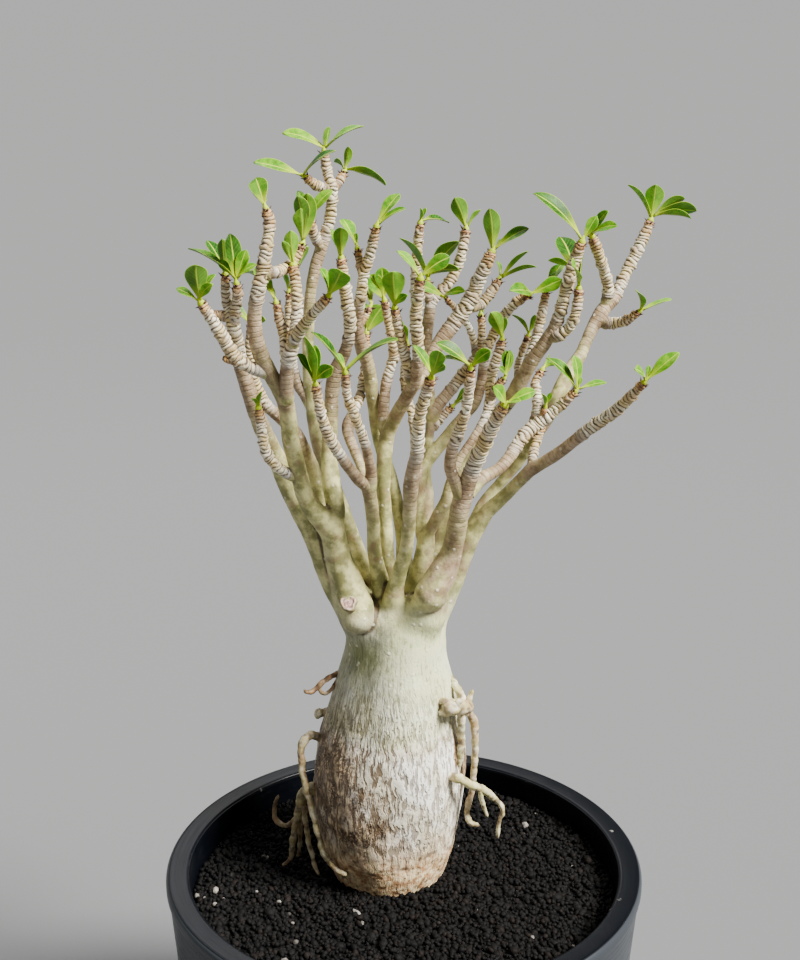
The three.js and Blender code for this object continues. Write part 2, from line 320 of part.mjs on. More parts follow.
const BLADE_OUTLINE = [0.12, 0.62, 1, 0.4]; // widths at equal steps from root to tip
const CORE_LENGTH = 3.4; // green bud that holds a tuft's leaves together
const CORE_TAPER = [0.85, 0.5]; // radii of its foot and top, as shares of the twig's end
const ROOT_OFFSET = 0.25; // how far off the core's axis a blade starts, as a share of the same
const CORE_SIDES = 5;

// ---- helpers ------------------------------------------------------------------------------
function seededRandom(seed) {
  let state = seed;
  return () => {
    state = (state * 1664525 + 1013904223) % 4294967296;
    return state / 4294967296;
  };
}

function solidOf(geometry) {
  const bare = geometry.clone();
  bare.deleteAttribute('normal');
  bare.deleteAttribute('uv');
  const merged = mergeVertices(bare, 1e-4);
  const mesh = new wasm.Mesh({
    numProp: 3,
    vertProperties: new Float32Array(merged.attributes.position.array),
    triVerts: new Uint32Array(merged.index.array),
  });
  return new wasm.Manifold(mesh);
}

function geometryOf(solid) {
  const mesh = solid.getMesh();
  const geometry = new THREE.BufferGeometry();
  geometry.setAttribute('position', new THREE.BufferAttribute(mesh.vertProperties, 3));
  geometry.setIndex(new THREE.BufferAttribute(mesh.triVerts, 1));
  return geometry;
}

function joined(solids) {
  return solids.reduce((whole, solid) => whole.add(solid));
}

// Frames along a curve that turn with it and do not twist, at the given shares of its length.
function framesAlong(curve, shares) {
  let side = new THREE.Vector3(1, 0, 0);
  if (Math.abs(curve.getTangentAt(0).x) > 0.9) {
    side.set(0, 1, 0);
  }
  return shares.map((share) => {
    const ahead = curve.getTangentAt(share);
    side = side.clone().addScaledVector(ahead, -side.dot(ahead)).normalize();
    const up = side.clone().cross(ahead);
    return { at: curve.getPointAt(share), ahead, side, up };
  });
}

function equalShares(steps) {
  return Array.from({ length: steps + 1 }, (_, i) => i / steps);
}

// Bends a straight cylinder along frames. section(step, angle) gives [side, up] offsets.
function bentCylinder(frames, sides, section) {
  const steps = frames.length - 1;
  const geometry = new THREE.CylinderGeometry(1, 1, 1, sides, steps);
  const position = geometry.attributes.position;
  const offset = new THREE.Vector3();
  for (let i = 0; i < position.count; i += 1) {
    const step = Math.round((position.getY(i) + 0.5) * steps);
    const { at, side, up } = frames[step];
    const onAxis = Math.hypot(position.getX(i), position.getZ(i)) < 0.5;
    const angle = Math.atan2(position.getZ(i), position.getX(i));
    const [across, above] = onAxis ? middleOf(section, step) : section(step, angle);
    offset.copy(at).addScaledVector(side, across).addScaledVector(up, above);
    position.setXYZ(i, offset.x, offset.y, offset.z);
  }
  return geometry;
}

function middleOf(section, step) {
  const [acrossA, aboveA] = section(step, 0);
  const [acrossB, aboveB] = section(step, Math.PI);
  return [(acrossA + acrossB) / 2, (aboveA + aboveB) / 2];
}

// ---- wood ---------------------------------------------------------------------------------
// Shares of the length at which a branch has a ring of corners: close together on ringed twigs.
function sharesAlong(length, radiusAt) {
  const shares = [0];
  while (shares.at(-1) < 1) {
    const last = shares.at(-1);
    const step = (radiusAt(last) < TWIG_RADIUS ? RING_STEP : SMOOTH_STEP) / length;
    shares.push(last + 1.5 * step > 1 ? 1 : last + step);
  }
  return shares;
}

// Stations of a branch: frames with the wood's radius and, on twigs, the ring ridges.
function stationsOf(rows) {
  const seen = rows.map(([x, height, depth]) => sight(x, height, depth));
  const curve = new THREE.CatmullRomCurve3(seen.map(({ point }) => point), false, 'catmullrom');
  const thick = rows.map((row, i) => new THREE.Vector3(row[3] * seen[i].scale, 0, 0));
  const radii = new THREE.CatmullRomCurve3(thick, false, 'catmullrom');
  const radiusAt = (share) => radii.getPoint(curve.getUtoTmapping(share)).x;
  const shares = sharesAlong(curve.getLength(), radiusAt);
  return framesAlong(curve, shares).map((frame, i) => {
    const radius = radiusAt(shares[i]);
    const ridge = radius < TWIG_RADIUS ? RING_RIDGE * (i % 2 ? 1 : -1) : 0;
    return { ...frame, radius: radius * (1 + ridge) };
  });
}

function tubeOf(stations) {
  const thickest = Math.max(...stations.map((station) => station.radius));
  const sides = thickest > TWIG_RADIUS + 1 ? LIMB_SIDES : TWIG_SIDES;
  return bentCylinder(stations, sides, (step, angle) => {
    const { radius } = stations[step];
    return [radius * Math.cos(angle), radius * Math.sin(angle)];
  });
}

function trunkRadius(height, radius, angle) {
  const grown = THREE.MathUtils.clamp((height - PLAIN_BELOW) / PLAIN_BELOW, 0, 1);
  const wave = TRUNK_WAVES.reduce(
    (sum, [count, share, twist]) => sum + share * Math.sin(count * angle + twist * height), 0);
  return radius * (1 + grown * wave);
}

function trunk() {
  const frames = TRUNK.map(([height, , x]) => ({
    at: new THREE.Vector3(x, 0, height).add(PLANT_FOOT),
    side: new THREE.Vector3(1, 0, 0),
    up: new THREE.Vector3(0, -1, 0),
  }));
  return bentCylinder(frames, TRUNK_SIDES, (step, angle) => {
    const [height, radius] = TRUNK[step];
    const reach = trunkRadius(height, radius, angle);
    return [reach * Math.cos(angle), reach * Math.sin(angle)];
  });
}

// ---- leaves -------------------------------------------------------------------------------
function bladeCurve(root, tip, axis) {
  const bow = axis.clone().multiplyScalar(LEAF_ARCH * root.distanceTo(tip));
  const control = root.clone().add(tip).multiplyScalar(0.5).add(bow);
  return new THREE.QuadraticBezierCurve3(root, control, tip);
}

function fullWidth(root, tip, seenWidth) {
  return Math.max(seenWidth, Math.min(LEAF_SLENDERNESS * root.distanceTo(tip), LEAF_WIDEST));
}

// The way across a blade at its middle: turned until the eye sees the given share of its width.
function sideOf(curve, axis, share) {
  const [{ at, ahead }] = framesAlong(curve, [0.5]);
  const view = at.clone().sub(PLANT_FOOT).sub(EYE);
  const open = view.cross(ahead).normalize();
  const onEdge = ahead.clone().cross(open);
  const turns = [1, -1].map((sign) =>
    open.clone().multiplyScalar(share).addScaledVector(onEdge, sign * Math.sqrt(1 - share * share)));
  const lift = (side) => side.clone().cross(ahead).dot(axis);
  const [best, other] = turns;
  const side = Math.abs(lift(best)) > Math.abs(lift(other)) ? best : other;
  return side.multiplyScalar(lift(side) < 0 ? -1 : 1);
}

// A folded blade: a four-sided cylinder pressed flat, its upper face toward the twig's axis.
function blade({ curve, width, share }, axis) {
  const steps = BLADE_OUTLINE.length - 1;
  const middle = sideOf(curve, axis, share);
  const frames = framesAlong(curve, equalShares(steps)).map((frame) => {
    const side = middle.clone().addScaledVector(frame.ahead, -middle.dot(frame.ahead)).normalize();
    return { ...frame, side, up: side.clone().cross(frame.ahead) };
  });
  return bentCylinder(frames, 4, (step, angle) => {
    const half = (BLADE_OUTLINE[step] * width) / 2;
    const across = half * Math.cos(angle);
    const thick = (BLADE_THICKNESS / 2) * Math.sin(angle);
    return [across, thick + BLADE_FOLD * Math.abs(across)];
  });
}

function gapToWood(point, wood) {
  let gap = Infinity;
  const nearest = new THREE.Vector3();
  for (const { line, radius } of wood) {
    line.closestPointToPoint(point, true, nearest);
    gap = Math.min(gap, nearest.distanceTo(point) - radius);
  }
  return gap;
}

// How free a blade lies: the smallest gap to the wood and to leaves of other tufts.
function freedom(curve, width, wood, leaves) {
  let least = Infinity;
  for (const share of [0.3, 0.45, 0.6, 0.75, 0.9, 1]) {
    const point = curve.getPoint(share);
    least = Math.min(least, gapToWood(point, wood) - 0.4 * width);
    for (const other of leaves) {
      least = Math.min(least, other.at.distanceTo(point) - 0.4 * (width + other.width));
    }
  }
  return least;
}

function freest(choices) {
  return choices.reduce((best, choice) => (choice.free > best.free ? choice : best));
}

function grownLeaf(tip, seenWidth, order, tuft, wood, leaves) {
  const root = rootOf(tuft.end, tip, order);
  const curve = bladeCurve(root, tip, tuft.end.ahead);
  const width = fullWidth(root, tip, seenWidth);
  return { curve, width, share: seenWidth / width, free: freedom(curve, width, wood, leaves) };
}

// The tip keeps its place in the eye's view and moves in depth until the blade is clear.
function placeLeaf([x, height, seenWidth], order, tuft, wood, leaves) {
  const depth = tuft.end.at.y - PLANT_Y;
  const choices = TIP_DEPTHS.map((shift) => {
    const scale = (depth + shift - EYE.y) / -EYE.y;
    const tip = new THREE.Vector3(x, 0, height).sub(EYE).multiplyScalar(scale).add(EYE);
    tip.add(PLANT_FOOT);
    return grownLeaf(tip, seenWidth, order, tuft, wood, leaves);
  });
  return choices.find(({ free }) => free > LEAF_CLEARANCE) ?? freest(choices);
}

// A short leaf on the far side, turned by a seeded draw until it is clear.
function placeHiddenLeaf(order, tuft, wood, leaves, random) {
  const choices = TIP_DEPTHS.map(() => {
    const turn = HIDDEN_LEAF_TURN * (random() - 0.5);
    const length = HIDDEN_LEAF_LENGTH * (0.8 + 0.4 * random());
    const reach = new THREE.Vector3(Math.sin(turn), Math.cos(turn), 0).multiplyScalar(0.9);
    reach.add(tuft.end.ahead).normalize();
    const tip = tuft.end.at.clone().addScaledVector(reach, length);
    return grownLeaf(tip, HIDDEN_LEAF_WIDTH, order, tuft, wood, leaves);
  });
  return freest(choices);
}

function tuftCore(end) {
  const foot = end.at.clone().addScaledVector(end.ahead, GAP);
  const top = foot.clone().addScaledVector(end.ahead, CORE_LENGTH);
  const frames = framesAlong(new THREE.LineCurve3(foot, top), equalShares(1));
  return bentCylinder(frames, CORE_SIDES, (step, angle) => {
    const radius = CORE_TAPER[step] * end.radius;
    return [radius * Math.cos(angle), radius * Math.sin(angle)];
  });
}

// Where the nth leaf leaves the core: on the side that its tip lies on, each a little higher.
function rootOf(end, tip, order) {
  const height = GAP + CORE_LENGTH * Math.min(0.3 + 0.12 * order, 0.75);
  const onAxis = end.at.clone().addScaledVector(end.ahead, height);
  const outward = tip.clone().sub(onAxis);
  outward.addScaledVector(end.ahead, -outward.dot(end.ahead)).normalize();
  return onAxis.addScaledVector(outward, ROOT_OFFSET * end.radius);
}

function leafTuft(tuft, wood, leaves, random) {
  const placed = tuft.leaves.map((leaf, i) => placeLeaf(leaf, i, tuft, wood, leaves));
  if (placed.length < FULL_TUFT) {
    placed.push(placeHiddenLeaf(placed.length, tuft, wood, leaves, random));
  }
  const blades = placed.map((leaf) => solidOf(blade(leaf, tuft.end.ahead)));
  const geometry = geometryOf(joined([solidOf(tuftCore(tuft.end)), ...blades]));
  const taken = placed.flatMap(({ curve, width }) =>
    [0.3, 0.5, 0.7, 0.85, 1].map((share) => ({ at: curve.getPoint(share), width })));
  return { geometry, taken };
}

// ---- pot and soil -------------------------------------------------------------------------
function turned(profile, segments) {
  const points = profile.map(([radius, height]) => new THREE.Vector2(radius, height));
  return new THREE.LatheGeometry(points, segments).rotateX(Math.PI / 2);
}

const WALL_SLOPE = (WALL_TOP_RADIUS - POT_BASE_RADIUS) / (POT_HEIGHT - COLLAR_HEIGHT);
const innerRadiusAt = (z) => INNER_TOP_RADIUS - WALL_SLOPE * (SOIL_LEVEL - z);

function pot() {
  const collarFoot = POT_HEIGHT - COLLAR_HEIGHT;
  const body = turned([
    [0, 0],
    [POT_BASE_RADIUS - 2, 0],
    [POT_BASE_RADIUS, 2],
    [WALL_TOP_RADIUS, collarFoot - 2],
    [RIM_RADIUS - 0.3, collarFoot],
    [RIM_RADIUS, POT_HEIGHT - 2],
    [LIP_OUTER_RADIUS, POT_HEIGHT],
    [LIP_INNER_RADIUS, POT_HEIGHT],
    [INNER_TOP_RADIUS, POT_HEIGHT - 2],
    [INNER_TOP_RADIUS, SOIL_LEVEL],
    [innerRadiusAt(FLOOR_THICKNESS), FLOOR_THICKNESS],
    [0, FLOOR_THICKNESS],
  ], POT_SIDES);
  let solid = solidOf(body);
  for (let i = 0; i < DRAIN_HOLES; i += 1) {
    const angle = (i / DRAIN_HOLES) * 2 * Math.PI;
    const drill = new THREE.CylinderGeometry(DRAIN_RADIUS, DRAIN_RADIUS, 3 * FLOOR_THICKNESS, 12);
    drill.rotateX(Math.PI / 2);
    drill.translate(DRAIN_CIRCLE * Math.cos(angle), DRAIN_CIRCLE * Math.sin(angle), 0);
    solid = solid.subtract(solidOf(drill));
  }
  return geometryOf(solid);
}

// Depth of the grit's surface below its level: low, uneven, from a few crossing waves.
function gritDip(x, y) {
  const coarse = Math.sin(0.11 * x + 1.3) * Math.cos(0.09 * y - 0.7);
  const fine = Math.sin(0.53 * x - 0.4 * y) * Math.sin(0.47 * x + 0.61 * y + 2);
  return 1.5 + 0.5 * coarse + 0.4 * fine;
}

// The room that the trunk's foot takes up in the grit.
function trunkSeat() {
  const buried = TRUNK.filter(([height]) => height < PLAIN_BELOW);
  const seat = turned([
    [0, buried[0][0] - GAP],
    ...buried.map(([height, radius], i) => [radius + SEAT_GAP, i ? height : height - GAP]),
    [0, buried.at(-1)[0]],
  ], TRUNK_SIDES);
  return solidOf(seat.translate(PLANT_X, PLANT_Y, SOIL_LEVEL));
}

function soil() {
  const floor = FLOOR_THICKNESS + GAP;
  const body = turned([
    [0, floor],
    [innerRadiusAt(floor) - GAP, floor],
    [innerRadiusAt(SOIL_LEVEL - 3) - GAP, SOIL_LEVEL - 3],
    ...GRIT_RINGS.map((radius) => [radius, SOIL_LEVEL]),
    [0, SOIL_LEVEL],
  ], POT_SIDES);
  const position = body.attributes.position;
  for (let i = 0; i < position.count; i += 1) {
    if (position.getZ(i) > SOIL_LEVEL - 0.5) {
      position.setZ(i, SOIL_LEVEL - gritDip(position.getX(i), position.getY(i)));
    }
  }
  return geometryOf(solidOf(body).subtract(trunkSeat()));
}

// ---- assembly -----------------------------------------------------------------------------
function finish(color, roughness) {
  return new THREE.MeshStandardMaterial({ color, roughness, metalness: 0, flatShading: true });
}

function named(name, geometry, material) {
  const mesh = new THREE.Mesh(geometry, material);
  mesh.name = name;
  return mesh;
}

function capsulesOf(stations) {
  return stations.slice(1).map((station, i) => ({
    line: new THREE.Line3(stations[i].at, station.at),
    radius: Math.max(stations[i].radius, station.radius),
  }));
}

function desertRose() {
  const branches = Object.entries(BRANCHES).map(([name, rows]) => [name, stationsOf(rows)]);
  const roots = ROOTS.map(stationsOf);
  const wood = [...branches.map(([, stations]) => stations), ...roots];
  const plant = joined([trunk(), ...wood.map(tubeOf)].map(solidOf));
  const group = new THREE.Group();
  group.add(named('pot', pot(), finish(0x1d2226, 0.35)));
  group.add(named('soil', soil(), finish(0x1a181a, 0.95)));
  group.add(named('plant', geometryOf(plant), finish(0xa39c82, 0.75)));

  const capsules = wood.flatMap(capsulesOf);
  const ends = Object.fromEntries(branches.map(([name, stations]) => [name, stations.at(-1)]));
  const random = seededRandom(7);
  const taken = []; // sample points of the blades placed so far
  Object.entries(TUFTS).forEach(([name, leaves], i) => {
    const tuft = leafTuft({ end: ends[name], leaves }, capsules, taken, random);
    taken.push(...tuft.taken);
    const label = `leaves_${String(i + 1).padStart(2, '0')}`;
    group.add(named(label, tuft.geometry, finish(0x5c8a2c, 0.5)));
  });
  return group;
}

export default desertRose();
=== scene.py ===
"""Looks for the desert rose in its pot. Lengths are millimetres in the tables, metres in Blender.

The row frame: the middle of the pot's underside is the origin, +Z is up, the front looks along -Y.
"""

import itertools
import math

import bpy
import numpy as np
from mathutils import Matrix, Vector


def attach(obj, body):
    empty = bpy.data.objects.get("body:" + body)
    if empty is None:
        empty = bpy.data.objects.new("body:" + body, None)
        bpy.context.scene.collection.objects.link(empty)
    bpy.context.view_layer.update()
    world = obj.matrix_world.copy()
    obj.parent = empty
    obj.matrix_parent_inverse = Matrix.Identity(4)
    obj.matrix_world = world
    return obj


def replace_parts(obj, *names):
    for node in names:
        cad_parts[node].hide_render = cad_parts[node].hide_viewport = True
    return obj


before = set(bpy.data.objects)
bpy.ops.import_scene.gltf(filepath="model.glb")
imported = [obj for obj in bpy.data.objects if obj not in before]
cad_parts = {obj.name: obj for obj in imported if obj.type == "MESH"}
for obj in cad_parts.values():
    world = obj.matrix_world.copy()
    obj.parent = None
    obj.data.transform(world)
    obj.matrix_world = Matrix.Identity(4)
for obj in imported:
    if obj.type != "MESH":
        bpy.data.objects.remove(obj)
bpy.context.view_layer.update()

# ---- the part's named values --------------------------------------------------------------
MM = 0.001
RIM_RADIUS = 105
POT_HEIGHT = 160
POT_BASE_RADIUS = 92
COLLAR_HEIGHT = 5
LIP_OUTER_RADIUS = 103.2
LIP_INNER_RADIUS = 95.4
WALL_TOP_RADIUS = 104.3
INNER_TOP_RADIUS = 94.5
FLOOR_THICKNESS = 6
DRAIN_HOLES = 6
DRAIN_RADIUS = 5
DRAIN_CIRCLE = 50
SOIL_LEVEL = 149
GAP = 0.3
TWIG_RADIUS = 3.3
SMOOTH_STEP = 14
RING_STEP = 8
RING_RIDGE = 0.07
BACK_SPREAD = 1.3
LEAF_ARCH = 0.16
LEAF_CLEARANCE = 1.0
LEAF_SLENDERNESS = 0.4
LEAF_WIDEST = 8.5
BLADE_FOLD = 0.28
HIDDEN_LEAF_LENGTH = 15
HIDDEN_LEAF_WIDTH = 4.5
HIDDEN_LEAF_TURN = 2.4
FULL_TUFT = 2
TIP_DEPTHS = [0, 5, -5, 10, -10, 15, -15, 20, -20]
CORE_LENGTH = 3.4
ROOT_OFFSET = 0.25
FOOT = np.array([-7.0, 15.0, SOIL_LEVEL])  # foot of the trunk in the row frame
EYE = np.array([5.3, -604.8, 367.4])  # the viewing eye, from the foot of the trunk

# Trunk rows: [height above the grit, radius, x of the middle].
TRUNK = [
    [-18, 14, 0], [-12, 20, 0], [-4, 24.5, 0], [4, 27.5, 0], [16, 30.8, -0.7], [27, 32.6, -0.5],
    [38, 33.8, -0.2], [52, 33.6, 0.5], [65, 32, 1.3], [76, 29.2, 2.2], [91, 25.8, 3.4],
    [104, 22.5, 3.8], [112, 21.3, 4.3], [120, 20, 4], [127, 17, 3], [133, 9, 2],
]

# Branches and roots from their start out: [x, height above the grit, depth behind the middle, radius]
# as the eye sees them.
BRANCHES = {
    "leftFront": [[-6, 106, -3, 8], [-10, 116, -7, 9], [-16, 128, -8, 7.5], [-20, 142, -10, 5.8],
        [-21.7, 150, -12, 5.3], [-24, 160, -14, 5.4], [-31, 169, -18, 4.4], [-35, 176, -21, 3.9],
        [-38.2, 190, -26, 3.5], [-40.3, 200, -29, 3.7], [-41.2, 210, -32, 3.5], [-42.5, 217, -34, 3.6],
        [-47, 226, -36, 3.4], [-51, 234, -38, 3.4], [-53.5, 242, -40, 3.3], [-54.2, 250, -41, 3],
        [-53.5, 257, -42, 2.9], [-52, 264, -43, 2.8], [-50.5, 270, -43, 2.6], [-48.5, 280, -43, 2.4],
        [-47, 290, -42, 2.2], [-48.3, 295.5, -42, 1.9]],
    "leftFrontInner": [[-42, 214, -34, 3], [-42, 222, -36, 3.1], [-41, 232, -39, 2.9],
        [-39, 240, -41, 2.9], [-37.5, 247, -40, 2.4], [-36.6, 256, -39, 2.4], [-37, 265, -38, 2.3],
        [-37.8, 273, -37, 2]],
    "leftFrontBow": [[-39, 239, -41, 2.3], [-37.5, 243.5, -43, 2.4], [-35, 247.5, -45, 2.3],
        [-32, 251, -47, 2.3], [-29, 255, -49, 2.2], [-26, 258, -51, 2.1], [-24, 260.5, -52, 1.8]],
    "leftFrontSpur": [[-41.3, 229, -38.5, 2], [-42, 238, -38, 2], [-42.5, 245, -37, 1.9],
        [-44, 252, -37, 1.9], [-45, 257.5, -37, 1.6]],
    "leftElbow": [[-48, 228, -36, 2.6], [-52, 229.5, -38, 2.6], [-58, 232, -40, 2.6],
        [-63, 236, -42, 2.6], [-67, 243, -44, 2.6], [-71, 250, -46, 2.4], [-75.5, 257.5, -48, 2]],
    "leftElbowStub": [[-60, 233, -41, 2], [-64, 234, -42, 1.7], [-67.5, 235, -43, 1.2]],
    "leftBridge": [[-51, 269, -43, 2.1], [-46, 270, -41, 2.1], [-42, 271.5, -37, 2.1],
        [-38.5, 274, -33, 2], [-36, 277.5, -31, 1.9], [-34.2, 281.5, -30, 1.7]],
    "leftLow": [[-38.5, 184, -24, 2.3], [-43, 186, -27, 2.3], [-47, 189, -30, 2.3],
        [-50.5, 194, -33, 2.2], [-52, 200, -35, 2.2], [-52.7, 207, -36, 2.1], [-53.5, 213.5, -37, 1.8]],
    "innerFront": [[-23, 160, -14, 4], [-22, 170, -12, 4], [-23.5, 180, -9, 4], [-24.3, 190, -6, 3.6],
        [-24, 200, -4, 3.3], [-23, 220, -2, 3], [-21, 230, -2, 2.9], [-18, 236, -3, 2.6],
        [-16, 242, -4, 2.4], [-15.2, 250, -5, 2.5], [-16.5, 260, -6, 2.5], [-17.8, 270, -7, 2.2],
        [-18.4, 276, -7, 1.9]],
    "leftOuter": [[-8, 112, 0, 8], [-12, 120, -2, 8], [-20, 132, -2, 6.5], [-24, 140, -3, 6],
        [-28, 150, -5, 5.3], [-32, 160, -7, 5], [-37, 170, -9, 4.7], [-42, 181, -11, 4.4],
        [-46, 191, -13, 4], [-50, 200, -15, 3.7], [-54, 210, -16, 3.5], [-57, 220, -17, 3.3],
        [-60, 231, -18, 3.1], [-62, 243, -19, 2.9], [-63, 249, -19, 2.8], [-64.6, 255, -18, 2],
        [-65.5, 262, -17, 1.9], [-65.5, 269, -16, 1.7]],
    "leftOuterFork": [[-62.7, 247, -19, 2.2], [-61.8, 255, -20, 2.1], [-60.7, 260, -21, 2],
        [-61, 265.5, -22, 1.8]],
    "leftOuterStub": [[-63, 251, -18, 1.9], [-68, 252.5, -18, 1.9], [-72.5, 253, -20, 1.7]],
    "leftRear": [[-12, 130, 2, 5], [-18, 140, 2, 4.5], [-22, 158, 4, 3.8], [-26, 170, 5, 3.5],
        [-30, 182, 5, 3.3], [-34, 194, 4, 3], [-39, 204, 2, 2.8], [-45, 210, 0, 2.6],
        [-51, 216, -3, 2.4], [-55, 226, -5, 2.2], [-56.5, 238, -7, 2], [-55.5, 248, -8, 1.8]],
    "tallRear": [[-2, 112, 4, 6], [-6, 122, 8, 5.5], [-11, 143, 10, 4.3], [-16.5, 160, 14, 3.7],
        [-24, 183, 20, 3.4], [-28, 195, 23, 3.2], [-30.5, 208, 26, 2.9], [-32, 222, 28, 2.7],
        [-32.5, 236, 30, 2.5], [-32, 250, 32, 2.4], [-31, 262, 33, 2.3], [-29, 272, 34, 2.4],
        [-26.5, 280, 35, 2.5], [-23, 291, 35, 2.3], [-21.7, 303, 35, 2.2], [-23, 308, 35, 2],
        [-24.2, 314, 35, 1.9], [-24.6, 318, 35, 1.7]],
    "tallRearLeft": [[-22, 303.5, 35, 1.7], [-24.5, 304, 34, 1.8], [-28, 305, 32, 1.8],
        [-30.5, 306.8, 30, 1.7], [-32.3, 308.3, 29, 1.5]],
    "tallRearRight": [[-21.7, 302.5, 35, 1.8], [-20, 305, 36, 1.7], [-18.3, 307.5, 37, 1.7],
        [-17, 310, 38, 1.5]],
    "tallRearFork": [[-26.5, 280, 34, 2], [-28.5, 284, 33, 2], [-30, 288, 31, 1.9],
        [-31, 291.5, 30, 1.7]],
    "rearSpur": [[-31, 213, 27, 2.1], [-34, 219, 28, 2.2], [-37.5, 225, 29, 2.2],
        [-39.5, 236, 30, 2], [-40, 248, 31, 1.9], [-39.5, 262, 32, 1.7]],
    "middle": [[-1, 124, -4, 5], [-3, 136, -7, 4], [-5, 146, -10, 3.3], [-6, 155, -13, 3],
        [-6.2, 165, -16, 2.9], [-8, 178, -20, 2.9], [-12.5, 183, -24, 2.5], [-17, 189, -28, 2.4],
        [-20.5, 194.5, -32, 2.4], [-23.7, 200, -35, 2.4], [-26, 206, -38, 2.2],
        [-28, 213, -41, 2.1], [-29.6, 223.5, -44, 1.8]],
    "middleFork": [[-7.5, 176, -20, 2.4], [-7, 184, -21, 2.4], [-7.5, 190, -23, 2.2],
        [-9, 197, -26, 2.1], [-10.8, 203, -29, 2], [-13.5, 210, -32, 2], [-15.7, 216, -35, 1.9],
        [-17, 222, -37, 1.8], [-17.2, 228.5, -39, 1.6]],
    "middleRear": [[-8, 178, -19, 2.2], [-10, 185, -14, 2.2], [-12.5, 192, -8, 2.1],
        [-15.5, 200, -2, 2.2], [-16.5, 206, 3, 2.5], [-14, 212, 7, 2.1], [-11.5, 218, 10, 1.9],
        [-10, 226, 13, 1.8], [-8.5, 235, 15, 1.6], [-8.4, 245, 16, 1.4]],
    "centreFront": [[1, 119, -9, 4.5], [2, 128, -12, 4.3], [5, 141, -16, 3.3], [7.7, 150, -20, 3],
        [8.8, 160, -24, 3], [9.5, 170, -28, 3.1], [9.9, 180, -32, 3.3], [11, 188, -36, 3],
        [12.5, 194, -39, 2.9], [12.6, 200, -41, 2.9], [13.4, 210, -45, 2.5], [16, 220, -49, 2.4],
        [18.2, 226.5, -52, 2]],
    "centre": [[0, 124, 2, 4.8], [0.5, 140, 2, 3.4], [0, 150, 2, 2.9], [-1.2, 170, 4, 2.9],
        [-1.8, 180, 4, 3], [-0.5, 200, 5, 3.3], [3.5, 210, 2, 3], [8, 218.5, -3, 2.8],
        [11.3, 225, -8, 2.6], [12.5, 232, -12, 2.4], [12.7, 240, -15, 2.4], [11.8, 250, -18, 2.5],
        [12.6, 260, -20, 2.3], [13.5, 267.5, -22, 2]],
    "centreLeft": [[-0.3, 202, 5, 2.6], [-1.5, 209, 7, 2.4], [-0.8, 222, 9, 2.2], [1, 230, 10, 2],
        [2.8, 236, 10, 2], [2, 243, 9, 1.8], [0.5, 250, 8, 1.7], [-1, 258.5, 7, 1.5]],
    "centreFork": [[10.3, 223, -7, 2.1], [8.5, 231, -9, 2.1], [6.8, 238, -13, 2.1],
        [5.5, 243, -15, 2], [4.5, 248, -17, 2], [3.2, 255.5, -19, 1.7]],
    "centreRight": [[9.5, 221, -5, 2.5], [14, 226.5, -2, 2.6], [17, 232, 1, 2.7], [20, 239, 3, 2.9],
        [24, 245, 4, 3.2], [28, 250.5, 5, 3.2], [32, 256, 5, 3.2], [35, 261.5, 5, 3],
        [37.5, 268, 4, 2.7], [40, 273.5, 3, 2.5], [42.3, 278.5, 3, 2.1]],
    "centreRightSpur": [[34, 256, 5, 2], [38.5, 257.5, 8, 2], [41, 260.5, 9, 2], [43.5, 264, 10, 1.9],
        [45.3, 267.3, 11, 1.6]],
    "rear": [[6, 116, 8, 5], [7, 128, 12, 4.8], [7, 150, 12, 3.5], [6, 160, 13, 3], [4.5, 170, 14, 2.9],
        [2, 181, 14, 2.8], [-1.2, 192, 13, 2.8], [-4, 203, 12, 2.7], [-5.3, 211, 11, 2.7],
        [-7.5, 230, 8, 2.9], [-10, 238, 6, 2.9], [-12, 247, 4, 2.5], [-11.5, 255, 2, 2.2],
        [-10.4, 262, 0, 2.2], [-9.3, 270, -1, 2.1], [-7, 277, -2, 2], [-4.2, 288.5, -4, 1.7]],
    "rearFork": [[-9.5, 268, -1, 1.7], [-10.8, 274, 1, 1.6], [-11.8, 279.5, 2, 1.4]],
    "rearShoot": [[-11.7, 248, 3, 1.4], [-9, 252, 5, 1.3], [-7, 256, 6, 1.1]],
    "rearThin": [[14, 158, 3, 2], [13, 164, 6, 1.8], [13.2, 175, 8, 1.8], [13, 186, 9, 1.8],
        [12, 196, 10, 1.8], [10, 212, 14, 1.7], [7.5, 222, 16, 1.7], [7, 229, 17, 1.6],
        [8.3, 240, 18, 1.4]],
    "rearRight": [[10, 114, 3, 6], [11, 124, 2, 6.2], [13.5, 138, 0, 5.2], [15.5, 148, -1, 4.3],
        [16.5, 156, 1, 3.8], [17, 166, 6, 2.5], [17.2, 175, 9, 2.3], [16.5, 186, 13, 2],
        [17, 198, 16, 1.9], [18, 207, 18, 2], [18, 218, 20, 2.1], [16.5, 230, 21, 2.2],
        [16.3, 242, 22, 2.2], [17, 251, 23, 2.3], [18, 257.5, 24, 2.2], [21, 261.5, 25, 2.1],
        [25, 266, 26, 2.1], [28.3, 272, 27, 2], [30.3, 279, 27, 2], [31.7, 287.5, 28, 1.8]],
    "rearRightStub": [[17.5, 256, 24, 1.9], [16.7, 262, 24, 1.7], [16.6, 267, 25, 1.4]],
    "rearRightInner": [[16.5, 234, 21, 2], [13, 248, 25, 2.1], [11.5, 262, 27, 2],
        [11.7, 272, 28, 2], [12.4, 281, 28, 1.9], [13.4, 289.8, 28, 1.6]],
    "rearRightSpur": [[17.6, 203, 17, 2], [19.5, 206.5, 19, 2], [23, 210.5, 20, 1.9],
        [26.8, 214.2, 21, 1.5]],
    "rearRightOuter": [[17.8, 206, 18, 2.2], [19.5, 212, 19, 2.6], [23, 217.5, 20, 2.6],
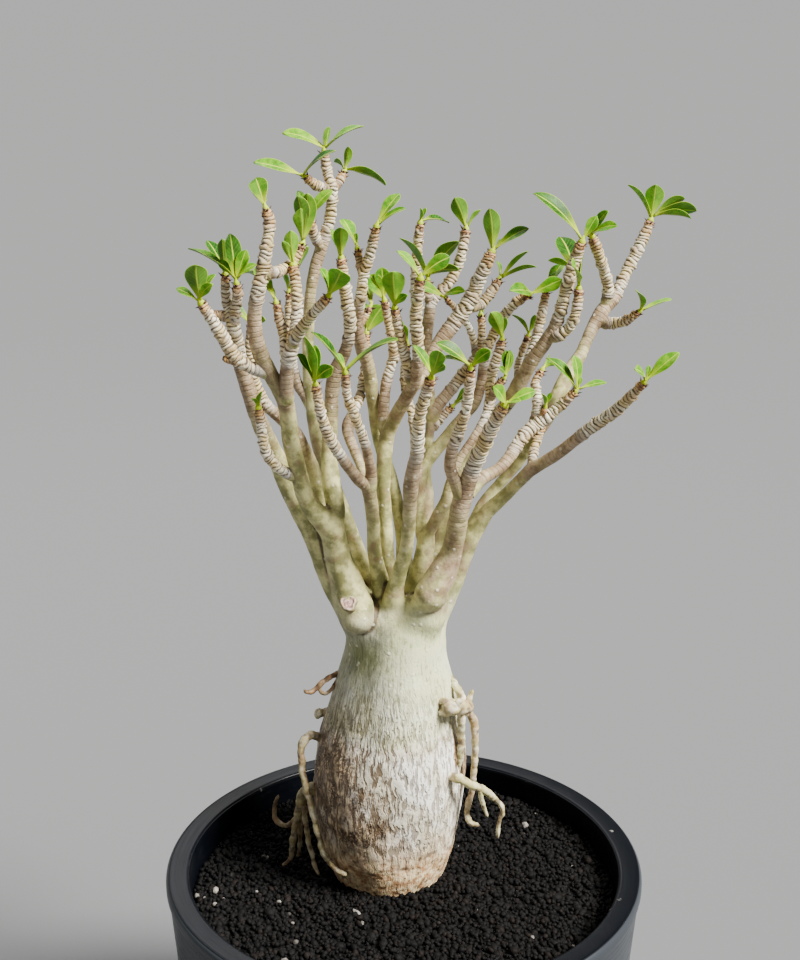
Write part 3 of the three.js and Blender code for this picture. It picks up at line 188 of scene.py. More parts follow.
        [27.5, 223, 21, 2.5], [31.5, 228.5, 22, 2.4], [35.5, 234, 22, 2], [38.3, 240, 22, 1.8],
        [38.8, 246, 22, 1.6], [38.3, 252.5, 22, 1.4]],
    "rearRightThread": [[36.5, 235.5, 22, 1.4], [35.5, 242, 21, 1.4], [33.3, 248, 20, 1.3],
        [30, 253, 19, 1.3], [26.5, 257, 18, 1.2], [24, 259.5, 18, 1.1]],
    "crossing": [[13.3, 181, 9, 2], [15, 187, 11, 2.5], [19, 193.5, 13, 2.6], [23.5, 199.5, 15, 2.6],
        [28, 205.5, 16, 2.5], [33, 211.5, 17, 2.4], [37, 217, 17, 2.2], [38.8, 224, 17, 2.1],
        [39.6, 231, 17, 2.1], [40.6, 238, 16, 2.1], [43, 243.5, 16, 2.1], [45.5, 248, 16, 2.1],
        [48, 253, 15, 2], [51.5, 257, 14, 1.9], [54.8, 259.8, 14, 1.9], [57.5, 261.2, 13, 1.6]],
    "rightThin": [[16.5, 157, -1, 2.7], [21, 166, -4, 2.7], [24.5, 173, -5, 2.6], [27, 183, -4, 2],
        [30.5, 192, -2, 1.8], [35.5, 200, 0, 1.8], [40, 208, 2, 1.9], [42.5, 216, 4, 2],
        [42.5, 224, 5, 2.1], [44, 231, 6, 2.1], [46, 238, 6, 2], [47, 242.5, 6, 1.7]],
    "rightThinSpur": [[42.6, 217, 4, 1.6], [45, 222, 2, 1.6], [48, 226, 1, 1.4]],
    "rightInner": [[13, 128, 4, 5], [17, 140, 6, 4.5], [19.5, 150, 6, 3.8], [22, 156, 7, 3.6],
        [27, 172, 9, 3.4], [31, 184, 11, 3.3], [36, 196, 13, 3.3], [41, 205, 14, 3.2],
        [46, 211, 14, 3.1], [50, 216, 12, 3.1], [53, 221, 10, 3.2], [56, 227, 8, 3.2],
        [60, 234.5, 6, 3], [64.5, 241, 5, 2.8], [68.5, 248, 4, 2.6], [70.8, 255, 3, 2.5],
        [72.3, 262, 2, 2.4], [74, 269, 1, 2.4], [76, 275.5, 1, 2.3], [78.3, 282.5, 0, 1.9]],
    "rightInnerFork": [[57, 230, 8, 2], [59.3, 238, 12, 1.9], [61, 243.5, 13, 1.9],
        [62.3, 249, 14, 1.8], [63.4, 255, 15, 1.8], [64.6, 262, 16, 1.5]],
    "rightInnerStub": [[54.5, 224, 10, 1.5], [53.8, 231, 15, 1.4], [55.5, 238, 17, 1.3],
        [57.7, 244, 18, 1.2]],
    "rightInnerSpur": [[66, 243, 5, 2.3], [70, 244.5, 3, 2.4], [74, 247.5, 2, 2.2],
        [76.5, 252, 1, 2.1], [77.6, 258, 1, 2], [77.8, 263.5, 1, 1.7]],
    "rightInnerShoot": [[71.5, 258, 3, 1.7], [74, 265, 8, 1.7], [75.5, 270, 11, 1.5]],
    "rightFront": [[11, 111, -3, 6], [16, 120, -9, 7.3], [19, 127, -11, 7], [22, 134, -12.5, 6],
        [25, 142, -14, 5.2], [27.5, 151, -17, 4.6], [29.3, 160, -20, 4.3], [30.8, 170, -23, 4.2],
        [32.3, 176, -24, 4], [35, 185, -27, 3.6], [36.8, 190, -29, 3.4], [41.2, 200, -34, 3.1],
        [44.3, 207, -38, 2.8], [46.8, 211.5, -41, 2.5], [48.7, 214.7, -43, 2.1]],
    "rightFrontFork": [[31.5, 175, -24, 3], [28.5, 182, -27, 2.7], [26.4, 188, -30, 2.5],
        [27, 195, -33, 2.5], [29, 201, -35, 2.4], [31, 207, -37, 2.2], [32.3, 212, -39, 2.1],
        [33.6, 219, -41, 2.1], [34.2, 225, -43, 2], [34.5, 230, -44, 1.7]],
    "rightBridge": [[34, 177, -23, 2.8], [39.5, 183, -20, 2.9], [44, 185.5, -17, 2.6],
        [48, 188.5, -14, 2.5], [51.5, 193, -11, 2.5], [54.5, 198, -8, 2.6], [58, 203, -6, 2.7],
        [62, 206.5, -4, 2.8], [66, 209.7, -4, 2.5], [70, 213, -4, 2.3], [74, 216.7, -5, 2.1],
        [77.7, 220.7, -6, 1.7]],
    "rightBridgeShoot": [[65, 209, -4, 1.4], [65.2, 212, -4.5, 1.3], [65.6, 213.8, -5, 1.1]],
    "right": [[18, 118, 2, 7], [24, 130, 3, 6], [28, 140, 2, 5.6], [31, 148, 1, 5.2],
        [34.5, 156, 0, 4.5], [37.5, 161, 0, 4], [42.5, 168.5, -1, 3.2], [47, 173, -3, 2.9],
        [52, 178, -5, 2.8], [56.5, 183, -8, 2.8], [61, 187.5, -11, 2.9], [66, 190.5, -14, 2.7],
        [72, 194.5, -18, 2.6], [78, 199.5, -22, 2.5], [84, 204.5, -26, 2.6], [90, 209, -29, 2.6],
        [95.5, 213, -32, 2.5], [100, 217.5, -35, 2.3], [103.5, 221.5, -37, 2], [106, 224.5, -39, 1.6]],
    "rightRear": [[35.5, 160, 1, 3], [40, 170.5, 4, 2.7], [44, 176.5, 6, 2.5], [49, 183, 6, 2.3],
        [54, 189, 5, 2.3], [58, 195, 3, 2.4], [62, 202, 0, 2.6], [65.5, 208, -1, 3],
        [68.5, 214, 1, 3.2], [71, 219.5, 3, 3.3], [73.5, 225, 5, 3.3], [76, 230.5, 8, 3],
        [79.3, 236, 11, 2.7], [82.9, 245, 15, 2.5], [85.5, 250.5, 18, 2.8], [88, 255, 20, 2.9],
        [92.4, 260, 22, 2.6], [94.6, 265, 24, 2.3], [96.6, 270, 26, 2.3], [99.2, 275.5, 28, 2.3],
        [101.4, 280.5, 29, 2.3], [103.3, 285, 30, 2.1], [105.5, 291, 31, 1.7]],
    "rightRearFork": [[88.5, 256, 20, 2.4], [89.8, 261, 20, 2.2], [89.3, 266, 19, 2.2],
        [87.8, 271, 17, 2.1], [86, 276, 15, 2.1], [84, 281, 13, 2.1], [82.6, 284.5, 12, 1.8]],
    "rightRearSpur": [[86, 249.5, 18, 2.3], [92, 249.5, 18, 2.2], [96, 250, 17, 2.1],
        [99.5, 251.8, 16, 1.9], [102.7, 254.3, 15, 1.5]],
    "rightLink": [[60.5, 187, -11, 1.9], [61.2, 194, -8, 1.8], [62.5, 200, -5, 1.9],
        [64.5, 206.5, -3, 1.9]],
    "rightShoot": [[61.5, 205, -2, 2.2], [62.3, 211, 2, 2.3], [62.6, 216, 5, 2.1],
        [61.8, 221, 7, 1.9], [61.3, 225, 8, 1.8], [63.8, 229.7, 9, 1.4]],
}

ROOTS = [
    [[-20, 94, 0, 2], [-24, 92.5, -3, 1.2], [-28, 90, -5, 1.1], [-30.5, 87.5, -6, 1.2],
        [-33, 85, -7, 1.1], [-35.5, 84.8, -8, 1], [-37, 86, -8, 0.7]],
    [[-21, 91, -1, 1.2], [-24.5, 87, -4, 0.9], [-27.3, 84.3, -5, 0.8], [-29.3, 85, -6, 0.8],
        [-30.3, 87, -6, 0.8]],
    [[-24, 76.5, 6, 2.2], [-28, 75, 7, 1.8], [-31.5, 74, 7, 1.7]],
    [[-29, 62, 0, 2.4], [-34, 63.5, -3, 2.3], [-37.7, 61, -5, 2.2], [-38.8, 55, -7, 1.9],
        [-38.4, 46, -9, 1.8], [-37.3, 39, -12, 1.8], [-35.5, 31, -14, 1.6], [-33.7, 23, -17, 1.6],
        [-32, 15, -19, 1.6], [-30.3, 7, -20, 1.7], [-28, 1, -21, 1.6], [-24, -4, -23, 1.4],
        [-19, -6.7, -25, 1.3]],
    [[-30, 39, 2, 3.2], [-35, 37, -2, 3.2], [-38.5, 33.5, -4, 3], [-40, 28, -4, 2.6],
        [-41.3, 23, -4, 1.8], [-42.7, 16, -5, 1.7], [-43.8, 8, -5, 1.6], [-44.2, 3, -5, 1.4],
        [-46, 0, -6, 1.1], [-48.7, -1.6, -7, 0.9]],
    [[-39.7, 26, -4, 1.6], [-39.7, 20, -2, 1.3], [-40.2, 12, -1, 1.2], [-41, 2.5, 0, 0.9]],
    [[-38.7, 29, -5, 1.7], [-37.6, 24, -7, 1.5], [-37, 16, -9, 1.4], [-36, 9, -11, 1.3],
        [-34.5, 2, -13, 1.2], [-33, -4, -15, 1], [-32, -7, -16, 0.8]],
    [[-41.5, 22, -4, 1.2], [-46, 18.5, 0, 1.1], [-50, 20.5, 3, 1.1], [-51.7, 26, 4, 1],
        [-49.5, 34, 4, 0.8]],
    [[22, 77, -12, 3.4], [27, 77, -19, 3.5], [31, 77.5, -17, 3.4], [34.5, 77.8, -14, 3],
        [36.8, 78.5, -12, 2.2]],
    [[35.5, 79, -13, 1.2], [36.5, 83, -12, 1], [37.2, 86, -12, 0.8]],
    [[35, 76, -13, 2.2], [37.6, 71, -12, 2], [38.7, 65, -12, 2], [38.7, 56, -12, 1.7],
        [38.3, 46, -12, 1.6], [38, 38, -13, 1.6], [36.3, 31, -14, 1.5], [35.7, 25, -15, 1.5],
        [37.2, 20, -16, 1.5], [41.3, 18.7, -17, 1.3]],
    [[27.5, 92, -5, 1.4], [30.3, 87, -9, 1.7], [32.5, 82, -11, 1.9], [33.5, 77, -13, 2]],
    [[31.5, 78, -14, 2], [32.2, 72, -15, 2], [32.3, 66, -14, 2], [32.3, 56, -12, 2],
        [31, 46, -10, 1.6]],
    [[26, 43.5, -16, 2.2], [31, 42.6, -21, 2.1], [35, 40.7, -21, 1.9], [39, 38.3, -20, 1.8],
        [43, 36.3, -19, 1.8], [46.5, 33.6, -18, 1.6], [49.5, 30.6, -17, 1.3], [51.3, 27.5, -17, 1.1],
        [51.7, 24.5, -17, 1], [50.4, 20.5, -17, 1], [49.5, 12, -17, 0.7]],
    [[41, 37, -20, 1.1], [42.2, 31, -19, 1], [43.7, 26, -18, 0.8], [44.8, 23, -18, 0.6]],
]

# Each tuft by the branch that it ends: its leaves' tips, [x, height] in the eye's view, and seen width.
TUFTS = {
    "leftFront": [[-52, 308, 7], [-51.5, 300, 2]],
    "leftFrontInner": [[-38.5, 287.3, 5.5], [-42, 283, 3]],
    "leftFrontBow": [[-27, 271.8, 2.2], [-18.5, 271, 8.5]],
    "leftFrontSpur": [[-48, 265, 2.2]],
    "leftElbow": [[-77, 273.5, 8.5], [-85.5, 263.8, 3], [-70.5, 265.5, 3.5], [-69.3, 269.5, 2.5]],
    "leftBridge": [[-34.5, 296, 7], [-31.5, 302, 6.5], [-35.5, 301, 6]],
    "leftLow": [[-52.3, 220.8, 2], [-56, 218, 1.6]],
    "innerFront": [[-18.3, 288.5, 6], [-22.5, 287.8, 2.5]],
    "leftOuter": [[-66, 284, 5]],
    "leftOuterFork": [[-63, 286, 6.5], [-56.5, 279.5, 5], [-55.5, 277, 3], [-68.5, 275, 3.5],
        [-80, 280, 1.6], [-53, 269, 1.4], [-52.5, 273.5, 2.5]],
    "leftRear": [[-66, 258.5, 4.5], [-49.5, 251, 3]],
    "tallRear": [[-22.5, 327.8, 2.8], [-9, 328, 1.6], [-41, 325.3, 4.5]],
    "tallRearLeft": [[-52.7, 314, 4.5], [-20, 318.7, 1.6]],
    "tallRearRight": [[-15, 320.2, 3.5], [-20.7, 314.3, 1.6], [-0.3, 305.2, 3.2]],
    "tallRearFork": [[-21.5, 303, 4.5], [-35.5, 303, 4]],
    "rearSpur": [[-42.5, 271.5, 2], [-31.8, 281, 4.5]],
    "middle": [[-29.3, 240.5, 5], [-33.5, 244, 3.5], [-37, 236.5, 2.5], [-22.3, 231, 5.5]],
    "middleFork": [[-31, 246, 2], [4.5, 243, 1.8], [-20.5, 237, 2]],
    "middleRear": [[-1.5, 256.5, 8]],
    "centreFront": [[21.5, 238, 6], [10.5, 240.3, 3], [24, 232, 3]],
    "centre": [[4, 279, 2.5], [25.5, 276.5, 6]],
    "centreLeft": [[-7, 269.5, 6.5], [-2, 272.5, 6.5]],
    "centreFork": [[2.5, 270.8, 9], [8.5, 261, 3]],
    "centreRight": [[41, 296, 7], [57, 288, 4], [50, 284, 1.6]],
    "centreRightSpur": [[60.5, 272.6, 2], [57, 279, 1.6], [44.5, 275, 1.6]],
    "rear": [[7.5, 296, 2]],
    "rearFork": [[-12.6, 286, 2.2]],
    "rearShoot": [[-8.5, 262, 1.6]],
    "rearThin": [[6.7, 249, 2.2]],
    "rearRight": [[27, 300.2, 7], [37.5, 295.5, 1.8]],
    "rearRightStub": [[5.5, 284, 3], [29, 283, 6], [17.5, 272.5, 1.6], [29.3, 271.5, 4]],
    "rearRightInner": [[25, 290.3, 1.8], [13.8, 296, 1.6], [15.8, 296.2, 1.6]],
    "rearRightSpur": [[33, 222.5, 3.5], [31, 216.7, 2]],
    "rearRightOuter": [[42.7, 262, 2.5], [37, 257, 1.6]],
    "rearRightThread": [[31.8, 262.5, 3]],
    "crossing": [[71, 267.5, 6], [49.8, 262.8, 4.5]],
    "rightThin": [[42.3, 254, 6], [48.5, 252, 2]],
    "rightThinSpur": [[48.5, 238.3, 4], [50.3, 238.5, 3], [46, 231, 2]],
    "rightInner": [[58.3, 302, 4.4], [84.2, 293, 4.5]],
    "rightInnerFork": [[69.5, 271, 2.5]],
    "rightInnerStub": [[60.6, 253, 3], [51, 253, 1.6]],
    "rightInnerSpur": [[78.9, 277, 2], [75.3, 272.5, 1.6]],
    "rightInnerShoot": [[69.5, 284.6, 8], [65.2, 275.2, 2.5]],
    "rightFront": [[43.7, 222.8, 4.5], [61.5, 221, 4.5], [55.5, 216.8, 1.6]],
    "rightFrontFork": [[20, 241.3, 4], [42.7, 238, 5], [22, 235, 1.6]],
    "rightBridge": [[65.5, 235, 3], [76.6, 236, 4], [90.8, 224.5, 2.5], [80, 227, 1.6]],
    "rightBridgeShoot": [[64.3, 219.8, 1.8], [68, 220.3, 2]],
    "right": [[120, 237.3, 5], [102, 230.3, 2], [107.8, 232, 2.2]],
    "rightRear": [[107, 305.5, 8], [96, 305.3, 2], [119, 300, 4], [124, 295, 5], [122, 292, 2.5]],
    "rightRearFork": [[88.6, 295, 3.5], [92.5, 289, 3.5]],
    "rightRearSpur": [[101, 263.2, 2.4], [115.7, 259.3, 1.8]],
    "rightShoot": [[66.5, 235.7, 2], [71, 233, 2]],
}


# ---- arrays and noise ---------------------------------------------------------------------
def unit(vectors):
    """Each row divided by its length."""
    return vectors / np.maximum(np.linalg.norm(vectors, axis=-1, keepdims=True), 1e-9)


def smooth(low, high, value):
    """Smooth step: 0 below low, 1 above high, 3t2 - 2t3 between."""
    t = np.clip((value - low) / (high - low), 0, 1)
    return t * t * (3 - 2 * t)


CORNERS = [*itertools.product((0, 1), repeat=3)]  # of a cube


def near_corner(part, corner):
    """Trilinear weight of a cube's corner for points at parts of the cube."""
    return np.prod(np.where(corner, part, 1 - part), axis=1)


def ring_angles(columns):
    """Even angles once round."""
    return np.linspace(0, 2 * math.pi, columns, endpoint=False)


def grain(points, seed):
    """Value noise from -1 to 1: a hashed number at each lattice corner, blended by smooth steps."""
    base = np.floor(points)
    part = points - base
    part = part * part * (3 - 2 * part)
    base = base.astype(np.int64)
    total = np.zeros(len(points))
    for corner in CORNERS:
        x, y, z = (base[:, k] + corner[k] for k in range(3))
        mixed = (x * 73856093) ^ (y * 19349663) ^ (z * 83492791) ^ (seed * 50331653)
        mixed = (mixed ^ (mixed >> 13)) * 1274126177 & 0xFFFFFFFF
        number = ((mixed ^ (mixed >> 16)) & 0xFFFF) / 65535.0
        total += near_corner(part, corner) * number
    return 2 * total - 1


def crumble(points, seed):
    """Three octaves of value noise, each half as high and twice as fine as the one before."""
    return sum(grain(points * 2**k, seed + k) / 2**k for k in range(3)) / 1.75


def seeded_random(seed):
    """The part's own number rule: state times 1664525 plus 1013904223, modulo 2 to the 32."""
    state = seed
    while True:
        state = (state * 1664525 + 1013904223) % 4294967296
        yield state / 4294967296


# ---- meshes -------------------------------------------------------------------------------
def mesh_piece(name, points, faces, material, colours=None, uv=None, rounded=True):
    """Puts whole arrays into a mesh: points in mm, faces as rows of 3 or 4 corners (or both)."""
    groups = [np.asarray(f, np.int32) for f in (faces if isinstance(faces, list) else [faces])]
    groups = [g for g in groups if len(g)]
    sizes = np.concatenate([np.full(len(g), g.shape[1], np.int32) for g in groups])
    corners = np.concatenate([g.ravel() for g in groups])
    mesh = bpy.data.meshes.new(name)
    mesh.vertices.add(len(points))
    mesh.vertices.foreach_set("co", (np.asarray(points) * MM).astype(np.float32).ravel())
    mesh.loops.add(len(corners))
    mesh.loops.foreach_set("vertex_index", corners)
    mesh.polygons.add(len(sizes))
    starts = np.concatenate([[0], np.cumsum(sizes)[:-1]]).astype(np.int32)
    mesh.polygons.foreach_set("loop_start", starts)
    mesh.update(calc_edges=True)
    mesh.validate()
    if colours is not None:
        layer = mesh.attributes.new("tone", "FLOAT_COLOR", "POINT")
        layer.data.foreach_set("color", np.asarray(colours, np.float32).ravel())
    if uv is not None:
        layer = mesh.uv_layers.new(name="UVMap")
        layer.data.foreach_set("uv", np.asarray(uv, np.float32)[corners].ravel())
    mesh.polygons.foreach_set("use_smooth", np.full(len(mesh.polygons), rounded))
    mesh.materials.append(material)
    piece = bpy.data.objects.new(name, mesh)
    bpy.context.scene.collection.objects.link(piece)
    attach(piece, "root")
    return piece


def tube_faces(rings, sides, first=0):
    """Quads of a tube of rings, closed round, with a fan of triangles over each end's middle point."""
    i = np.arange(rings - 1)[:, None] * sides
    j = np.arange(sides)[None, :]
    k = (j + 1) % sides
    quads = np.stack([i + j, i + k, i + sides + k, i + sides + j], -1).reshape(-1, 4) + first
    low, high = first + rings * sides, first + rings * sides + 1
    ends = first + (rings - 1) * sides
    fan_low = np.stack([k[0] + first, j[0] + first, np.full(sides, low)], -1)
    fan_high = np.stack([j[0] + ends, k[0] + ends, np.full(sides, high)], -1)
    return quads, np.concatenate([fan_low, fan_high])


def tube_points(centres, sides_dir, up_dir, radii):
    """Centre plus side cosine plus up sine times the radius, ring by ring; then the two end points."""
    count = radii.shape[1]
    angle = ring_angles(count)
    across = radii * np.cos(angle)
    above = radii * np.sin(angle)
    rings = centres[:, None] + across[..., None] * sides_dir[:, None] + above[..., None] * up_dir[:, None]
    return np.concatenate([rings.reshape(-1, 3), centres[:1], centres[-1:]])


class Bundle:
    """Collects tubes and other small surfaces into one piece."""

    def __init__(self):
        self.points, self.quads, self.fans, self.colours, self.uv, self.count = [], [], [], [], [], 0

    def add(self, points, quads, fans, colours, uv=None):
        """Takes in a surface whose faces count its own points from 0."""
        self.points.append(points)
        self.quads.append(np.asarray(quads).reshape(-1, 4) + self.count)
        self.fans.append(np.asarray(fans).reshape(-1, 3) + self.count)
        self.colours.append(colours)
        if uv is not None:
            self.uv.append(uv)
        self.count += len(points)

    def piece(self, name, material, slot):
        """The one mesh piece of all that was added."""
        uv = np.concatenate(self.uv) if self.uv else None
        faces = [np.concatenate(self.quads), np.concatenate(self.fans)]
        points, colours = np.concatenate(self.points), np.concatenate(self.colours)
        return mesh_piece(name, points, faces, material, colours, uv)


# ---- the lines of the wood ----------------------------------------------------------------
def spline_at(points, t):
    """Uniform Catmull-Rom curve: a cubic between neighbours, each tangent half the chord around it."""
    spans = len(points) - 1
    held = np.vstack([2 * points[0] - points[1], points, 2 * points[-1] - points[-2]])
    where = np.clip(t, 0, 1) * spans
    i = np.minimum(where.astype(int), spans - 1)
    w = (where - i)[:, None]
    a, b, c, d = (held[i + k] for k in range(4))
    bent = a - 2.5 * b + 2 * c - d / 2
    turned = -a / 2 + 1.5 * b - 1.5 * c + d / 2
    return b + w * (c - a) / 2 + w**2 * bent + w**3 * turned


def sighted(rows):
    """Rows [x, height, depth, radius] as points: slid from the middle plane along the eye's rays."""
    rows = np.asarray(rows, float)
    y = np.where(rows[:, 2] > 0, rows[:, 2] * BACK_SPREAD, rows[:, 2])
    scale = (y - EYE[1]) / -EYE[1]
    seen = np.stack([rows[:, 0], 0 * y, rows[:, 1]], 1)
    return (seen - EYE) * scale[:, None] + EYE + FOOT, rows[:, 3] * scale


class Wood:
    """A branch or root as a line in space with its radii, measured along its length."""

    DIVISIONS = 200

    def __init__(self, rows):
        self.points, self.radii = sighted(rows)
        self.t = np.linspace(0, 1, self.DIVISIONS + 1)
        steps = np.linalg.norm(np.diff(spline_at(self.points, self.t), axis=0), axis=1)
        self.run = np.concatenate([[0], np.cumsum(steps)])
        self.length = self.run[-1]

    def t_at(self, share):
        """The curve's parameter at a share of the length."""
        return np.interp(np.asarray(share) * self.length, self.run, self.t)

    def radius(self, share):
        """Radius at shares of the length: the curve through the rows' radii."""
        return spline_at(self.radii[:, None], self.t_at(share))[:, 0]

    def at(self, share):
        """Points at shares of the length: the curve through the rows' points."""
        return spline_at(self.points, self.t_at(share))

    def ahead(self, share):
        """Unit way along the line: the chord between two near points of the curve."""
        t = self.t_at(share)
        return unit(spline_at(self.points, t + 1e-4) - spline_at(self.points, t - 1e-4))

    def stations(self):
        """The solids' own stations: shares, points and radii with the ring ridges."""
        shares = [0.0]
        while shares[-1] < 1:
            last = shares[-1]
            thin = self.radius([last])[0] < TWIG_RADIUS
            step = (RING_STEP if thin else SMOOTH_STEP) / self.length
            shares.append(1.0 if last + 1.5 * step > 1 else last + step)
        shares = np.array(shares)
        radius = self.radius(shares)
        odd = np.arange(len(shares)) % 2 * 2 - 1
        ridged = np.where(radius < TWIG_RADIUS, radius * (1 + RING_RIDGE * odd), radius)
        return self.at(shares), ridged


branches = {name: Wood(rows) for name, rows in BRANCHES.items()}
roots = [Wood(rows) for rows in ROOTS]


# ---- the leaves' places -------------------------------------------------------------------
def capsules():
    """Straight pieces of wood between stations: start, end and the thicker radius."""
    starts, ends, radii = [], [], []
    for wood in [*branches.values(), *roots]:
        at, radius = wood.stations()
        starts.append(at[:-1])
        ends.append(at[1:])
        radii.append(np.maximum(radius[:-1], radius[1:]))
    return np.concatenate(starts), np.concatenate(ends), np.concatenate(radii)


CAPSULES = capsules()
CLEAR_SHARES = np.array([0.3, 0.45, 0.6, 0.75, 0.9, 1])
TAKEN_SHARES = np.array([0.3, 0.5, 0.7, 0.85, 1])


def bezier(leaf, share):
    """Quadratic Bezier from root to tip over its control point."""
    s = np.asarray(share, float)[:, None]
    return (1 - s) ** 2 * leaf["root"] + 2 * s * (1 - s) * leaf["control"] + s**2 * leaf["tip"]


def freedom(leaf, taken):
    """The smallest gap from the blade's line to wood and to leaves of other tufts."""
    points = bezier(leaf, CLEAR_SHARES)
    start, end, radius = CAPSULES
    along = end - start
    offset = points[:, None] - start
    t = np.clip((offset * along).sum(-1) / (along * along).sum(-1), 0, 1)
    gap = np.linalg.norm(offset - t[..., None] * along, axis=-1) - radius
    least = gap.min() - 0.4 * leaf["width"]
    for points_taken, width in taken:
        near = np.linalg.norm(points[:, None] - points_taken, axis=-1).min()
        least = min(least, near - 0.4 * (leaf["width"] + width))
    return least


def grown_leaf(tip, seen_width, order, end, taken):
    """A leaf from the bud's side that its tip lies on, bowed toward the twig's axis."""
    at, ahead, radius = end
    on_axis = at + ahead * (GAP + CORE_LENGTH * min(0.3 + 0.12 * order, 0.75))
    outward = tip - on_axis
    outward = unit(outward - ahead * (outward @ ahead))
    root = on_axis + outward * ROOT_OFFSET * radius
    length = np.linalg.norm(tip - root)
    width = max(seen_width, min(LEAF_SLENDERNESS * length, LEAF_WIDEST))
    control = (root + tip) / 2 + ahead * LEAF_ARCH * length
    leaf = {"root": root, "control": control, "tip": tip, "width": width, "axis": ahead}
    leaf |= {"share": seen_width / width, "length": length}
    leaf["free"] = freedom(leaf, taken)
    return leaf


def placed_leaf(row, order, end, taken):
    """The tip keeps its place in the eye's view and moves in depth until the blade is clear."""
    x, height, seen_width = row
    choices = []
    for shift in TIP_DEPTHS:
        scale = (end[0][1] - FOOT[1] + shift - EYE[1]) / -EYE[1]
        tip = (np.array([x, 0, height]) - EYE) * scale + EYE + FOOT
        choices.append(grown_leaf(tip, seen_width, order, end, taken))
        if choices[-1]["free"] > LEAF_CLEARANCE:
            return choices[-1]
    return max(choices, key=lambda leaf: leaf["free"])


def hidden_leaf(order, end, taken, draw):
    """A short leaf on the far side, turned by a seeded draw until it is freest."""
    choices = []
    for _ in TIP_DEPTHS:
        turn = HIDDEN_LEAF_TURN * (next(draw) - 0.5)
        length = HIDDEN_LEAF_LENGTH * (0.8 + 0.4 * next(draw))
        reach = 0.9 * np.array([math.sin(turn), math.cos(turn), 0]) + end[1]
        tip = end[0] + unit(reach) * length
        choices.append(grown_leaf(tip, HIDDEN_LEAF_WIDTH, order, end, taken))
    return max(choices, key=lambda leaf: leaf["free"])


def all_tufts():
    """Every tuft in the part's order: the end of its twig and its placed leaves."""
    draw, taken, tufts = seeded_random(7), [], []
    for name, rows in TUFTS.items():
        wood = branches[name]
        ridged = wood.stations()[1][-1]
        end = (wood.at([1.0])[0], wood.ahead([1.0])[0], ridged)
        leaves = [placed_leaf(row, i, end, taken) for i, row in enumerate(rows)]
        if len(leaves) < FULL_TUFT:
            leaves.append(hidden_leaf(len(leaves), end, taken, draw))
        taken += [(bezier(leaf, TAKEN_SHARES), leaf["width"]) for leaf in leaves]
        tufts.append((end, leaves))
    return tufts


# ---- trunk and limbs: one blended surface -------------------------------------------------
CELL = 0.93  # grid step of the blended surface
GRID_LOW = np.array([-62.0, -64.0, -17.5]) + FOOT
GRID_HIGH = np.array([104.0, 66.0, 268.0]) + FOOT
TWIG_LENGTH = 62  # a branch's last stretch, made as a twig; the rest is a smooth limb
BLEND_LOW, BLEND_HIGH = 3.2, 2.2  # how far two surfaces flow into each other, low down and high up
BLEND_FROM, BLEND_TO = 108, 150  # the heights between which that changes
LIMB_OVERLAP = 8  # how far a limb runs on inside its twig
LIMB_TAPER, TAPER_LENGTH = 0.24, 9.5  # how much thinner it gets there, and over which length
SPHERE_STEP = 1.1  # between the spheres that make a limb
CREASE_STEP = 1.3
LEFT_SPAN = 100.0  # mm from a branch's end that make 1 of the bark's UV x
# Feet of the two front limbs and the swelling under the right one: the width of the join, then
# [x, height, depth, radius] at both ends.
KNUCKLES = [
    (2.0, [[-21.2, 149, -12.2, 5.0], [-13.4, 120.4, -15.6, 7.3]]),
    (2.0, [[-17, 140, -11.5, 4.8], [-12, 126, -14.5, 5.8]]),
    (0.9, [[26.9, 149, -16.4, 4.6], [18.5, 131, -17, 7.2]]),
    (6.0, [[12, 123, -12, 6.2], [17.5, 120, -12.5, 6.0]]),
]


def frames_of(ahead):
    """Across and up directions for rings: across is square to the way ahead and to the depth."""
    across = unit(np.cross(np.array([0.0, 1.0, 0.0]), ahead))
    return across, np.cross(ahead, across)


def trunk_profile(height):
    """Trunk radius and the x of its middle at heights above the grit, from a curve through its rows."""
    rows = np.array(TRUNK, float)
    fine = spline_at(rows, np.linspace(0, 1, 400))
    return np.interp(height, fine[:, 0], fine[:, 1]), np.interp(height, fine[:, 0], fine[:, 2])


def trunk_field(x, y, z):
    """Signed distance to the trunk: distance from its middle less its wavy radius, eased by its slope."""
    height = z - FOOT[2]
    radius, middle = trunk_profile(height)
    slope = np.gradient(radius, height)
    radius, middle, slope, height = (v[None, None, :] for v in (radius, middle, slope, height))
    dx = x[:, None, None] - FOOT[0] - middle
    dy = y[None, :, None] - FOOT[1]
    angle = np.arctan2(-dy, dx)
    wave = 0.02 * np.sin(3 * angle + 0.045 * height) + 0.016 * np.sin(5 * angle - 0.07 * height)
    wave = wave + 0.007 * np.sin(11 * angle + 0.12 * height)
    grown = np.clip((height - 6) / 6, 0, 1)
    side = (np.hypot(dx, dy) - radius * (1 + grown * wave)) / np.sqrt(1 + slope**2)
    return np.maximum(side, np.maximum(-16 - height, height - 131))


def grid_lines():
    """Evenly spaced x, y and z of the grid's planes, a cell apart, from its low corner to past its high one."""
    counts = np.ceil((GRID_HIGH - GRID_LOW) / CELL).astype(int) + 1
    return [GRID_LOW[k] + CELL * np.arange(counts[k]) for k in range(3)]


def smooth_share(wood):
    """How much of a branch, from its start, is smooth wood."""
    return max(0.0, 1 - TWIG_LENGTH / wood.length)


